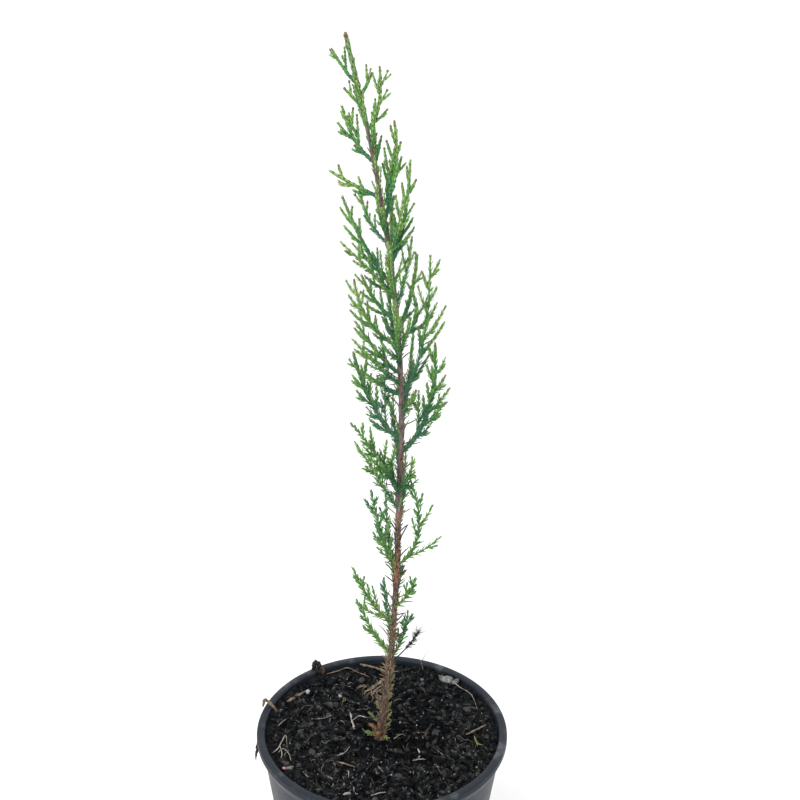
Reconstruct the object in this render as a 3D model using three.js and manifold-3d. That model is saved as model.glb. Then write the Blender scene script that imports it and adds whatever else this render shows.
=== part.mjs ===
// A young Italian cypress in a round nursery pot filled with potting mix.
// Millimetres, +Z up. The origin is the centre of the pot's flat underside and the front faces -Y.
import * as THREE from "three";
import { mergeVertices } from "three/addons/utils/BufferGeometryUtils.js";
import Module from "manifold-3d";

const wasm = await Module();
wasm.setup();

// Clear gap between neighbouring solids
const GAP = 0.3;

// Pot: a thin tapering shell with a bevelled collar and a broad rounded lip
const POT_HEIGHT = 112;
const POT_RIM_RADIUS = 65;
const POT_LIP_WIDTH = 4.2;
const POT_BASE_RADIUS = 47;
const POT_WALL = 1.4;
const POT_FLOOR = 2;
const COLLAR_DEPTH = 7.4;
const COLLAR_STEP = 1.3;
const COLLAR_BEVEL = 1.8;
const COLLAR_BAND = 3;
const COLLAR_EDGE = 0.4;
const EDGE_ROUND = 1.2;
const POT_SIDES = 36;
const DRAIN_COUNT = 6;
const DRAIN_RADIUS = 4.5;
const DRAIN_CIRCLE = 35;
const DRAIN_SIDES = 12;

// Potting mix: its level below the rim, and the chips and pebbles that stand out of it
const FILL_DEPTH = 9;
const FILL_EDGE_RISE = 4.2;
const FILL_SWELL = 0.6;
const FILL_FLAT_RADIUS = 11;
const FILL_GAP = 0.33;
const FILL_RINGS = 5;
const CHIP_COUNT = 16;
const CHIP_SIZE = 2.6;
const CHIP_CLEAR_OF_WALL = 5;

// Trunk: its height over the mix, and its sideways and forward sway at equal steps of that height
const TRUNK_HEIGHT = 346;
const TRUNK_SWAY_X = [-1.4, 3.5, 6.0, 6.7, 7.5, 5.3, 0.0, -8.4, -19];
const TRUNK_SWAY_Y = [0, 1.2, 1.6, 1.0, 0, -1.0, -1.4, -0.8, 0.5];
const TRUNK_RADIUS = 1.45;
const TRUNK_TIP_RADIUS = 0.6;
const TRUNK_TAPER_POWER = 4;
const FLARE_RADIUS = 1.5;
const FLARE_HEIGHT = 26;
const TRUNK_SIDES = 8;
const TRUNK_RINGS = 26;
const TRUNK_RING_CROWDING = 1.25;

// Side shoots from the foot up: height of the root on the trunk, bearing in degrees from the
// right-hand side towards the back, reach outwards, rise, and how far the stem bows out on its way
const GREEN_SHOOTS = [
  [47, 20, 9, 25, 8],
  [49, 170, 18, 29, 9],
  [58, 108, 16, 26, 11],
  [67, 195, 21, 33, 13],
  [76, 340, 11, 18, 7],
  [86, 60, 7, 9, 4],
  [91, 148, 7, 44, 5],
  [98, 202, 14, 43, 8],
  [99, 350, 6, 46, 18],
  [118, 80, 19, 34, 13],
  [129, 185, 21, 35, 6],
  [136, 225, 31, 44, 3],
  [139, 305, 12, 20, 7],
  [147, 102, 20, 36, 14],
  [159, 5, 15, 53, 18],
  [164, 175, 23, 43, 15],
  [174, 75, 19, 40, 14],
  [180, 300, 13, 13, 8],
  [186, 0, 12, 67, 13],
  [188, 200, 17, 11, 8],
  [193, 215, 26, 24, 11],
  [198, 188, 21, 25, 10],
  [202, 262, 18, 34, 12],
  [205, 108, 20, 34, 14],
  [209, 290, 14, 18, 9],
  [211, 195, 21, 31, 18],
  [214, 20, 4, 26, 15],
  [219, 60, 17, 32, 13],
  [223, 165, 17, 20, 11],
  [230, 10, 7, 31, 5],
  [232, 258, 16, 28, 10],
  [235, 215, 28, 25, 8],
  [239, 180, 23, 39, 12],
  [243, 95, 17, 34, 13],
  [249, 350, 8, 45, 7],
  [253, 302, 11, 27, 8],
  [258, 170, 13, 23, 10],
  [262, 245, 11, 19, 7],
  [268, 75, 14, 28, 11],
  [274, 15, 5, 36, 9],
  [278, 190, 22, 11, 9],
  [286, 100, 12, 24, 9],
  [293, 175, 14, 23, 10],
  [299, 280, 9, 18, 6],
  [306, 350, 5, 26, 7],
  [316, 200, 8, 7, 3],
  [320, 10, 5, 9, 2],
  [325, 175, 11, 14, 5],
];
const DEAD_SHOOTS = [
  [27, 190, 12, 5, 6],
  [44, 34, 19, 14, 11],
];

// Stems: thickness, the part of the rise at which they bow, and the sag allowed between two rings
const STEM_RADIUS = 0.95;
const STEM_OF_TRUNK = 0.9;
const STEM_TAPER = 0.45;
const STEM_ELBOW = 0.3;
const STEM_SAG = 0.2;

// Twigs along a stem, and leaves or short sprays along a twig. Angles are in radians, and first and
// last are shares of the way along what carries them.
const TWIG = {
  step: 5.2,
  first: 0.16,
  last: 0.92,
  angle: 0.6,
  spread: 1.9,
  grow: 0.24,
  shortest: 3.6,
  least: 0.6,
  vary: 0.8,
  lift: 0.35,
};
const LEAF = {
  step: 5.4,
  first: 0.25,
  last: 0.72,
  angle: 0.6,
  spread: 1.7,
  grow: 0.3,
  shortest: 2.2,
  least: 0.8,
  vary: 0.5,
  lift: 0.25,
};
const PLACE_JITTER = 0.4;
const TWIG_SIDES = 3;
const TWIG_RADIUS = 0.6;
const TWIG_OF_STEM = 0.75;
const TWIG_SHOULDER = 0.8;
const TWIG_TAPER = 0.7;
const LEAF_OF_TWIG = 0.6;
const ROOT_OFFSET = 0.2;
const FEWEST_TWIGS = 2;

// Beads that keep one shoot's room free of the others
const BEAD_STEP = 0.8;
const BEAD_MARGIN = 0.25;
const TRUNK_OWNER = -1;

// Worked out from the sizes above
const UP = new THREE.Vector3(0, 0, 1);
const GOLDEN_ANGLE = Math.PI * (3 - Math.sqrt(5));
const MERGE_DISTANCE = 1e-4;
const SLIVER = 0.01;
const COLLAR_FOOT = POT_HEIGHT - COLLAR_DEPTH;
const WALL_TOP_RADIUS = POT_RIM_RADIUS - COLLAR_BEVEL - COLLAR_STEP;
const FILL_LEVEL = POT_HEIGHT - FILL_DEPTH;
const TRUNK_FOOT = FILL_LEVEL + GAP;

// A repeatable number from 0 to 1 for any pair of whole numbers
function chance(first, second) {
  const wave = Math.sin(first * 12.9898 + second * 78.233) * 43758.5453;
  return wave - Math.floor(wave);
}

// Solids for joining and cutting, and the way back to a named mesh
function solidOf(geometry) {
  const bare = geometry.clone();
  bare.deleteAttribute("normal");
  bare.deleteAttribute("uv");
  const merged = mergeVertices(bare, MERGE_DISTANCE);
  const vertProperties = new Float32Array(merged.attributes.position.array);
  const triVerts = new Uint32Array(merged.index.array);
  return new wasm.Manifold(new wasm.Mesh({ numProp: 3, vertProperties, triVerts }));
}

function meshOf(solid, name, material) {
  const { vertProperties, triVerts } = solid.getMesh();
  const geometry = new THREE.BufferGeometry();
  geometry.setAttribute("position", new THREE.BufferAttribute(vertProperties, 3));
  geometry.setIndex(new THREE.BufferAttribute(triVerts, 1));
  geometry.computeVertexNormals();
  const mesh = new THREE.Mesh(geometry, material);
  mesh.name = name;
  return mesh;
}

function lathe(profile, sides) {
  const points = profile.map(([radius, height]) => new THREE.Vector2(radius, height));
  return new THREE.LatheGeometry(points, sides).rotateX(Math.PI / 2);
}

// A limb is a turned profile bent along a curve. Each ring is [share of the way, radius].
// Its rings lie square to the curve, or level where the limb stands on a level cut.
function limb(curve, rings, sides, level = false) {
  const last = rings.length - 1;
  const profile = [[0, rings[0][0]], ...rings.map(([share, radius]) => [radius, share])];
  if (rings[last][1] > 0) profile.push([0, rings[last][0]]);
  const geometry = lathe(profile, sides);
  const chord = curve.getPoint(1).sub(curve.getPoint(0)).normalize();
  const helper = Math.abs(chord.x) < 0.8 ? new THREE.Vector3(1, 0, 0) : new THREE.Vector3(0, 1, 0);
  const position = geometry.attributes.position;
  for (let i = 0; i < position.count; i++) {
    const share = THREE.MathUtils.clamp(position.getZ(i), 0, 1);
    const tangent = level ? UP : curve.getTangent(share);
    const across = helper.clone().addScaledVector(tangent, -helper.dot(tangent)).normalize();
    const along = tangent.clone().cross(across);
    const point = curve.getPoint(share);
    point.addScaledVector(across, position.getX(i)).addScaledVector(along, position.getY(i));
    position.setXYZ(i, point.x, point.y, point.z);
  }
  return geometry;
}

// Pot
function insideRadius(height) {
  return POT_BASE_RADIUS + (WALL_TOP_RADIUS - POT_BASE_RADIUS) * (height / COLLAR_FOOT) - POT_WALL;
}

function potSolid() {
  const lipInner = POT_RIM_RADIUS - POT_LIP_WIDTH;
  const corner = EDGE_ROUND * (1 - Math.SQRT1_2);
  const outside = [
    [0, 0],
    [POT_BASE_RADIUS - EDGE_ROUND, 0],
    [POT_BASE_RADIUS, EDGE_ROUND],
    [WALL_TOP_RADIUS, COLLAR_FOOT],
    [WALL_TOP_RADIUS + COLLAR_STEP, COLLAR_FOOT + COLLAR_EDGE],
    [POT_RIM_RADIUS, POT_HEIGHT - COLLAR_BAND],
    [POT_RIM_RADIUS, POT_HEIGHT - EDGE_ROUND],
    [POT_RIM_RADIUS - corner, POT_HEIGHT - corner],
    [POT_RIM_RADIUS - EDGE_ROUND, POT_HEIGHT],
  ];
  const inside = [
    [lipInner + EDGE_ROUND, POT_HEIGHT],
    [lipInner, POT_HEIGHT - EDGE_ROUND],
    [insideRadius(COLLAR_FOOT), COLLAR_FOOT],
    [insideRadius(POT_FLOOR), POT_FLOOR],
    [0, POT_FLOOR],
  ];
  let pot = solidOf(lathe([...outside, ...inside], POT_SIDES));
  for (let i = 0; i < DRAIN_COUNT; i++) {
    const turn = ((i + 0.5) / DRAIN_COUNT) * 2 * Math.PI;
    const drain = new THREE.CylinderGeometry(DRAIN_RADIUS, DRAIN_RADIUS, 3 * POT_FLOOR, DRAIN_SIDES);
    drain.rotateX(Math.PI / 2);
    drain.translate(DRAIN_CIRCLE * Math.cos(turn), DRAIN_CIRCLE * Math.sin(turn), 0);
    pot = pot.subtract(solidOf(drain));
  }
  return pot;
}

// Potting mix: a shallow dish, flat under the trunk, that swells a little and rises to the wall
function fillHeight(radius, edgeRadius) {
  const share = Math.max(0, radius - FILL_FLAT_RADIUS) / (edgeRadius - FILL_FLAT_RADIUS);
  return FILL_LEVEL + FILL_SWELL * Math.sin(2 * Math.PI * share) + FILL_EDGE_RISE * share ** 2;
}

function fillSolid() {
  const foot = POT_FLOOR + GAP;
  const edgeRadius = insideRadius(COLLAR_FOOT) - FILL_GAP;
  const profile = [
    [0, foot],
    [insideRadius(foot) - FILL_GAP, foot],
    [edgeRadius, COLLAR_FOOT],
  ];
  for (let i = FILL_RINGS; i >= 0; i--) {
    const radius = FILL_FLAT_RADIUS + (i / FILL_RINGS) * (edgeRadius - FILL_FLAT_RADIUS);
    profile.push([radius, fillHeight(radius, edgeRadius)]);
  }
  profile.push([0, FILL_LEVEL]);
  const pieces = [solidOf(lathe(profile, POT_SIDES))];
  for (let i = 0; i < CHIP_COUNT; i++) {
    const share = (i + 0.5) / CHIP_COUNT;
    const outermost = edgeRadius - CHIP_CLEAR_OF_WALL;
    const radius = FILL_FLAT_RADIUS + (outermost - FILL_FLAT_RADIUS) * Math.sqrt(share);
    const turn = i * GOLDEN_ANGLE + 0.8 * chance(i, 1);
    const size = CHIP_SIZE * (0.6 + 0.9 * chance(i, 2));
    const chip = new THREE.IcosahedronGeometry(size, 0);
    chip.scale(1, 0.5 + 0.4 * chance(i, 3), 0.35 + 0.3 * chance(i, 4));
    chip.rotateX(0.7 * (chance(i, 5) - 0.5));
    chip.rotateZ(2 * Math.PI * chance(i, 6));
    chip.translate(radius * Math.cos(turn), radius * Math.sin(turn), fillHeight(radius, edgeRadius));
    pieces.push(solidOf(chip));
  }
  return wasm.Manifold.union(pieces).simplify(SLIVER);
}

// Trunk
const trunkCurve = new THREE.CatmullRomCurve3(
  TRUNK_SWAY_X.map((x, i) => {
    const share = i / (TRUNK_SWAY_X.length - 1);
    return new THREE.Vector3(x, TRUNK_SWAY_Y[i], TRUNK_FOOT + share * TRUNK_HEIGHT);
  }),
  false,
  "catmullrom",
);

function trunkRadius(share) {
  const taper = (TRUNK_RADIUS - TRUNK_TIP_RADIUS) * (1 - share ** TRUNK_TAPER_POWER);
  const flare = FLARE_RADIUS * Math.exp((-share * TRUNK_HEIGHT) / FLARE_HEIGHT);
  return TRUNK_TIP_RADIUS + taper + flare;
}

function trunkSolid(extra) {
  const rings = [];
  for (let i = 0; i <= TRUNK_RINGS; i++) {
    const share = (i / TRUNK_RINGS) ** TRUNK_RING_CROWDING;
    rings.push([share, trunkRadius(share) + extra]);
  }
  return solidOf(limb(trunkCurve, rings, TRUNK_SIDES, true));
}

// Room that is taken: beads along each limb, so that a twig that would come too close is left out
const taken = [];

function beadsOf(curve, length, radius, owner) {
  const count = Math.ceil(length / BEAD_STEP);
  const beads = [];
  for (let i = 0; i <= count; i++) beads.push({ point: curve.getPoint(i / count), radius, owner });
  return beads;
}

function isFree(beads) {
  return beads.every((bead) =>
    taken.every((other) => {
      if (other.owner === bead.owner) return true;
      const room = bead.radius + other.radius + GAP + BEAD_MARGIN;
      return bead.point.distanceToSquared(other.point) > room * room;
    }),
  );
}

// A branch leaves its parent at an angle, turned about it by the roll, and its tip is lifted.
// Its root lies inside the parent, a part of the parent's radius off the axis.
function branch(parent, share, radius, outward, roll, length, rule) {
  const start = parent.getPoint(share);
  const tangent = parent.getTangent(share);
  const across = outward.clone().addScaledVector(tangent, -outward.dot(tangent)).normalize();
  const along = tangent.clone().cross(across);
  const side = across.multiplyScalar(Math.cos(roll)).addScaledVector(along, Math.sin(roll));
  const heading = tangent.multiplyScalar(Math.cos(rule.angle));
  heading.addScaledVector(side, Math.sin(rule.angle));
  start.addScaledVector(heading, ROOT_OFFSET * radius);
  const tip = start.clone().addScaledVector(heading, length).addScaledVector(UP, rule.lift * length);
  return new THREE.LineCurve3(start, tip);
}

// Where the branches of one carrier stand: alternate sides, with seeded place, roll and length
function sprouts(rule, count, span, owner, seed) {
  return Array.from({ length: count }, (_, i) => {
    const draw = (what) => chance(owner, seed + 10 * i + what);
    const share = rule.first + ((rule.last - rule.first) * (i + PLACE_JITTER * draw(1))) / count;
    const roll = i * Math.PI + rule.spread * (draw(2) - 0.5);
    const full = rule.grow * span * (1 - share) + rule.shortest;
    return { share, roll, length: full * (rule.least + rule.vary * draw(3)) };
  });
}

function outwardOf(bearing) {
  const turn = THREE.MathUtils.degToRad(bearing);
  return new THREE.Vector3(Math.cos(turn), Math.sin(turn), 0);
}

function stemCurve([height, bearing, reach, rise, bow]) {
  const root = trunkCurve.getPoint(height / TRUNK_HEIGHT);
  const outward = outwardOf(bearing);
  const elbow = root.clone().addScaledVector(outward, bow).addScaledVector(UP, STEM_ELBOW * rise);
  const tip = root.clone().addScaledVector(outward, reach).addScaledVector(UP, rise);
  return new THREE.QuadraticBezierCurve3(root, elbow, tip);
}

// A stem is never thicker at its root than its share of the trunk there
function stemRadius([height], share) {
  const root = Math.min(STEM_RADIUS, STEM_OF_TRUNK * trunkRadius(height / TRUNK_HEIGHT));
  return root * (1 - STEM_TAPER * share);
}

function stemLimb(shoot, stem) {
  const bend = stem.v0.clone().addScaledVector(stem.v1, -2).add(stem.v2).length();
  const count = Math.max(2, Math.ceil(Math.sqrt(bend / (4 * STEM_SAG))));
  const rings = [];
  for (let i = 0; i <= count; i++) {
    const share = (TWIG.last * i) / count;
    rings.push([share, stemRadius(shoot, share)]);
  }
  return limb(stem, [...rings, [1, 0]], TWIG_SIDES);
}

// The pieces of one side shoot: its stem, the twigs along it, and the leaves along each twig
function shootPieces(shoot, owner) {
  const [, bearing, reach, rise] = shoot;
  const stem = stemCurve(shoot);
  const outward = outwardOf(bearing);
  const span = Math.hypot(reach, rise);
  const pieces = [stemLimb(shoot, stem)];

  // A piece is kept only where its room is free
  function keep(curve, length, radius, rings) {
    const beads = beadsOf(curve, length, radius, owner);
    if (!isFree(beads)) return false;
    taken.push(...beads);
    pieces.push(limb(curve, rings, TWIG_SIDES));
    return true;
  }

  const twigCount = Math.max(FEWEST_TWIGS, Math.floor(span / TWIG.step));
  sprouts(TWIG, twigCount, span, owner, 0).forEach(({ share, roll, length }, k) => {
    const carrier = stemRadius(shoot, share);
    const radius = Math.min(TWIG_RADIUS, TWIG_OF_STEM * carrier);
    const twig = branch(stem, share, carrier, outward, roll, length, TWIG);
    const twigRings = [[0, radius], [TWIG_SHOULDER, TWIG_TAPER * radius], [1, 0]];
    if (!keep(twig, length, radius, twigRings)) return;
    const leafCount = Math.floor(length / LEAF.step);
    for (const leaf of sprouts(LEAF, leafCount, length, owner, 1000 + 100 * k)) {
      const leafCarrier = radius * (1 - ((1 - TWIG_TAPER) * leaf.share) / TWIG_SHOULDER);
      const leafRadius = LEAF_OF_TWIG * leafCarrier;
      const blade = branch(twig, leaf.share, leafCarrier, outward, leaf.roll, leaf.length, LEAF);
      keep(blade, leaf.length, leafRadius, [[0, leafRadius], [1, 0]]);
    }
  });
  return pieces;
}

function shootSolid(shoot, owner, trunkClearance) {
  const joined = wasm.Manifold.union(shootPieces(shoot, owner).map(solidOf));
  return joined.subtract(trunkClearance).simplify(SLIVER);
}

// Materials
const LEAF_COLOURS = [0x4a8048, 0x3d7350, 0x62994a];
const DEAD_COLOUR = 0x7d6a58;

function finish(color, roughness) {
  return new THREE.MeshStandardMaterial({ color, roughness, metalness: 0, flatShading: true });
}

// Room for the trunk and every stem is taken before any twig grows
function reserveRoom(shoots) {
  const count = Math.floor(TRUNK_HEIGHT / BEAD_STEP);
  for (let i = 0; i <= count; i++) {
    const share = i / count;
    taken.push({ point: trunkCurve.getPoint(share), radius: trunkRadius(share), owner: TRUNK_OWNER });
  }
  shoots.forEach((shoot, owner) => {
    const [, , reach, rise] = shoot;
    taken.push(...beadsOf(stemCurve(shoot), Math.hypot(reach, rise), STEM_RADIUS, owner));
  });
}

// Assembly
const plant = new THREE.Group();
plant.name = "italian_cypress";
plant.add(meshOf(potSolid(), "pot", finish(0x3a3c44, 0.5)));
plant.add(meshOf(fillSolid(), "potting_mix", finish(0x1d1a18, 1)));
plant.add(meshOf(trunkSolid(0), "trunk", finish(0x74544c, 0.9)));

const shoots = [...GREEN_SHOOTS, ...DEAD_SHOOTS];
const trunkClearance = trunkSolid(GAP);
reserveRoom(shoots);
shoots.forEach((shoot, owner) => {
  const isDead = owner >= GREEN_SHOOTS.length;
  const number = isDead ? owner - GREEN_SHOOTS.length + 1 : owner + 1;
  const name = (isDead ? "dead_twig_" : "shoot_") + String(number).padStart(2, "0");
  const material = isDead ? finish(DEAD_COLOUR, 1) : finish(LEAF_COLOURS[owner % LEAF_COLOURS.length], 0.7);
  plant.add(meshOf(shootSolid(shoot, owner, trunkClearance), name, material));
});

export default plant;
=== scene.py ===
# %% [markdown]
# # A young Italian cypress in a nursery pot
# The plant is about 35 cm tall: a thin brown trunk with feathery green side shoots, in a round
# black pot of dark potting mix. The solids of the part give every place and size, so they are
# loaded first, and each cell dresses one of them with the surface that the real thing shows.

# %% Load the solids
import math

import bmesh
import bpy
import numpy as np
from mathutils import Matrix


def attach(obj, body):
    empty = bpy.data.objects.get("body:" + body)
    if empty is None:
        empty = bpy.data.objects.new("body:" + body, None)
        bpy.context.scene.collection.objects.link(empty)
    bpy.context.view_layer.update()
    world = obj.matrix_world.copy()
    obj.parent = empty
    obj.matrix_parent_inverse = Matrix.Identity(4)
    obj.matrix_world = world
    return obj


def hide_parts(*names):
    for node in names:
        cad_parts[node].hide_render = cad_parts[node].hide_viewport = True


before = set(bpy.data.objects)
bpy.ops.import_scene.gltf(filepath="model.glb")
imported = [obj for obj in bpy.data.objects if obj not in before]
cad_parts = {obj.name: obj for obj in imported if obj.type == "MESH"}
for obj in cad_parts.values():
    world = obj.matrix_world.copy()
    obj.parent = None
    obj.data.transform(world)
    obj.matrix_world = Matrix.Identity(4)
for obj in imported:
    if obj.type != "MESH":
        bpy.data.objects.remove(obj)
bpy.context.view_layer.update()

# %% [markdown]
# ## The camera
# The oval of the pot's rim tells how the picture was taken: from in front and above, looking down
# by 16 degrees, with a slight roll. A camera is turned by a matrix whose columns are its right, its
# up and its backward direction, which is easier to read than three angles. One direction swung
# towards another gives them, and the same sum turns shoots and leaves further on.

# %% Camera at the picture's viewing angle
MM = 0.001
RIGHT, FORWARD, UP = np.eye(3)
CAMERA_PLACE = np.array([6.6, -405.0, 407.0])
CAMERA_PITCH = math.radians(16.3)
CAMERA_ROLL = math.radians(0.9)
LENS_MM = 40.5
SENSOR_MM = 36.0
CLIP_START_M = 0.01


def swung(first, second, angle):
    """A direction turned by an angle towards a second one, square to it: cos first + sin second."""
    angle = np.asarray(angle)[..., None]
    return np.cos(angle) * first + np.sin(angle) * second


def stand(thing, right, up, back, place):
    """Puts an object into the scene at a place in metres, turned by its right, up and backward."""
    matrix = np.eye(4)
    matrix[:3] = np.column_stack([right, up, back, place])
    thing.matrix_world = Matrix(matrix.tolist())
    bpy.context.scene.collection.objects.link(thing)


level_up = swung(UP, FORWARD, CAMERA_PITCH)
right = swung(RIGHT, level_up, CAMERA_ROLL)
up = swung(level_up, -RIGHT, CAMERA_ROLL)
camera = bpy.data.objects.new("camera", bpy.data.cameras.new("camera"))
stand(camera, right, up, swung(-FORWARD, UP, CAMERA_PITCH), CAMERA_PLACE * MM)
camera.data.lens = LENS_MM
camera.data.sensor_width = SENSOR_MM
camera.data.clip_start = CLIP_START_M
bpy.context.scene.camera = camera
print("camera at", CAMERA_PLACE, "mm")

# %% [markdown]
# ## Writing shaders as sums
# A material is a net of nodes. Wrapping each output socket in a small class lets the sums be
# written as Python: `1 - mask * 0.5` adds its Math nodes by itself. One method makes any other
# node from its type, its settings and its sockets.

# %% A socket that can be added and multiplied
class Wire:
    """One output socket in a material's node tree, with arithmetic that adds Math nodes."""

    def __init__(self, tree, socket=None):
        self.tree = tree
        self.socket = socket

    def node(self, kind, settings=None, sockets=None, output=0):
        """Adds any node: settings or a ramp's stops are set first, then sockets get values or links."""
        made = self.tree.nodes.new(kind)
        for key, value in (settings or {}).items():
            if key == "stops":
                set_stops(made.color_ramp.elements, value)
            else:
                setattr(made, key, value)
        for key, value in (sockets or {}).items():
            if isinstance(value, Wire):
                self.tree.links.new(value.socket, made.inputs[key])
            else:
                made.inputs[key].default_value = value
        return Wire(self.tree, made.outputs[output] if len(made.outputs) else None)

    def math(self, operation, first, second):
        """Adds a Math node between two wires or numbers."""
        return self.node("ShaderNodeMath", {"operation": operation}, {0: first, 1: second})

    def __add__(self, other):
        return self.math("ADD", self, other)

    def __sub__(self, other):
        return self.math("SUBTRACT", self, other)

    def __rsub__(self, other):
        return self.math("SUBTRACT", other, self)

    def __mul__(self, other):
        return self.math("MULTIPLY", self, other)

    __radd__ = __add__
    __rmul__ = __mul__


def set_stops(elements, stops):
    """Gives a ramp its stops, each a place from 0 to 1 and a colour."""
    while len(elements) < len(stops):
        elements.new(1.0)
    for element, (place, colour) in zip(elements, stops):
        element.position = place
        element.color = (*colour, 1)


print("wires can be added, taken away and multiplied")

# %% [markdown]
# Most finishes here are made of the same few steps: noise, a smooth step on it, and a mix of two
# colours by that step. Each is a small function of the wire it starts from. A finish begins with
# the place on the object, and ends with a Principled shader.

# %% Steps that a finish is made of
def new_finish(name):
    """An empty material, and a wire with the place on the object."""
    material = bpy.data.materials.new(name)
    material.use_nodes = True
    material.node_tree.nodes.clear()
    return material, Wire(material.node_tree).node("ShaderNodeTexCoord", output="Object")


def height_of(place):
    """The place's height in metres."""
    return place.node("ShaderNodeSeparateXYZ", None, {"Vector": place}, "Z")


def speckle(place, scale, detail=2.0, roughness=0.5):
    """Soft noise from 0 to 1 with that many lumps in a metre."""
    sockets = {"Vector": place, "Scale": scale, "Detail": detail, "Roughness": roughness}
    return place.node("ShaderNodeTexNoise", None, sockets, "Fac")


def drawn_out(place, lumps_a_metre, detail=3.0, roughness=0.5):
    """Soft noise with its own number of lumps in a metre in each direction."""
    sockets = {0: place, 1: lumps_a_metre}
    longer = place.node("ShaderNodeVectorMath", {"operation": "MULTIPLY"}, sockets)
    return speckle(longer, 1.0, detail, roughness)


def between(mask, low, high):
    """0 where the mask is at low, 1 where it is at high, and a smooth step between."""
    settings = {"interpolation_type": "SMOOTHSTEP"}
    return mask.node("ShaderNodeMapRange", settings, {"Value": mask, "From Min": low, "From Max": high})


def mixed(mask, first, second):
    """The first colour where the mask is 0, the second where it is 1."""
    first, second = ((*c, 1) if isinstance(c, tuple) else c for c in (first, second))
    return mask.node("ShaderNodeMix", {"data_type": "RGBA"}, {0: mask, 6: first, 7: second}, 2)


def surface(colour, roughness, specular, relief=None, depth=0.0):
    """Closes a finish: a Principled shader, with a Bump node where there is a relief in metres."""
    sockets = {"Base Color": colour, "Roughness": roughness, "Specular IOR Level": specular}
    if relief is not None:
        sockets["Normal"] = colour.node("ShaderNodeBump", None, {"Height": relief, "Distance": depth})
    shader = colour.node("ShaderNodeBsdfPrincipled", None, sockets)
    colour.node("ShaderNodeOutputMaterial", None, {"Surface": shader})


print("finish helpers ready")

# %% [markdown]
# ## Floor and light
# The picture has a plain white ground and soft daylight. A white world gives light from all round,
# and one large lamp from the upper left makes a soft bright side. The Standard view keeps
# white as white.

# %% Floor, world and lamp
FLOOR_RADIUS_M = 4.0
FLOOR_DROP_M = 0.0002
FLOOR_SIDES = 96
FLOOR_TONES = (0.95, 0.95, 0.95), (0.98, 0.98, 0.98)
WORLD_STRENGTH = 1.15
LAMP_PLACE_M = np.array([-0.8, -0.9, 1.5])
LAMP_AIM_M = np.array([0.0, 0.0, 0.2])
LAMP_SIZE_M = 1.0
LAMP_WATTS = 15.0


def unit(vectors):
    """Each vector divided by its own length."""
    return vectors / np.linalg.norm(vectors, axis=-1, keepdims=True)


def turns(count):
    """That many angles evenly round a full turn."""
    return 2 * np.pi * np.arange(count) / count


def level_way(angle):
    """The level direction at each angle about the upright: its cosine, its sine and no rise."""
    return swung(RIGHT, FORWARD, angle)


floor_paper, place = new_finish("floor_paper")
surface(mixed(speckle(place, 60.0), *FLOOR_TONES), 0.9, 0.1)
floor_points = FLOOR_RADIUS_M * level_way(turns(FLOOR_SIDES)) - FLOOR_DROP_M * UP
floor_mesh = bpy.data.meshes.new("floor")
floor_mesh.from_pydata(floor_points.tolist(), [], [list(range(FLOOR_SIDES))])
floor_mesh.materials.append(floor_paper)
floor = bpy.data.objects.new("floor", floor_mesh)
bpy.context.scene.collection.objects.link(floor)

world = bpy.data.worlds.new("studio")
world.use_nodes = True
world.node_tree.nodes["Background"].inputs["Color"].default_value = (1, 1, 1, 1)
world.node_tree.nodes["Background"].inputs["Strength"].default_value = WORLD_STRENGTH
bpy.context.scene.world = world
bpy.context.scene.view_settings.view_transform = "Standard"

lamp = bpy.data.objects.new("lamp", bpy.data.lights.new("lamp", "AREA"))
lamp.data.size = LAMP_SIZE_M
lamp.data.energy = LAMP_WATTS
lamp_back = unit(LAMP_PLACE_M - LAMP_AIM_M)
lamp_side = unit(np.cross(UP, lamp_back))
stand(lamp, lamp_side, np.cross(lamp_back, lamp_side), lamp_back, LAMP_PLACE_M)
print("floor, world and lamp ready")

# %% [markdown]
# ## From arrays to meshes
# Every piece is worked out in millimetres as whole numpy arrays: points on a grid, and the numbers
# of each face's corners. `foreach_set` then fills the mesh in one go. The object stays at the
# origin, because its place is in its points.

# %% Helpers for grids and pieces
def grid_faces(rows, columns):
    """The four corners of each cell of a grid numbered row by row, its last column joined to its first."""
    row, column = np.mgrid[: rows - 1, :columns]
    following = (column + 1) % columns
    low, high = row * columns, (row + 1) * columns
    corners = [low + column, low + following, high + following, high + column]
    return np.stack(corners, axis=-1).reshape(-1, 4)


def fan_faces(centre, ring, facing_up):
    """Triangles from a centre point to each side of a ring of points."""
    following = np.roll(ring, -1)
    pair = (ring, following) if facing_up else (following, ring)
    return np.column_stack([np.full(len(ring), centre), *pair])


def tube_faces(rows, columns):
    """A grid of rings, with fans to two points that follow it: the first ring's and the last ring's."""
    ring = np.arange(columns)
    foot, head = rows * columns, rows * columns + 1
    caps = [fan_faces(foot, ring, False), fan_faces(head, ring + (rows - 1) * columns, True)]
    return [grid_faces(rows, columns), np.vstack(caps)]


def copied_faces(faces, copies, points_each):
    """One shape's faces repeated for that many copies whose points follow each other."""
    shift = np.arange(copies)[:, None, None] * points_each
    return (faces[None] + shift).reshape(-1, faces.shape[1])


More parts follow.
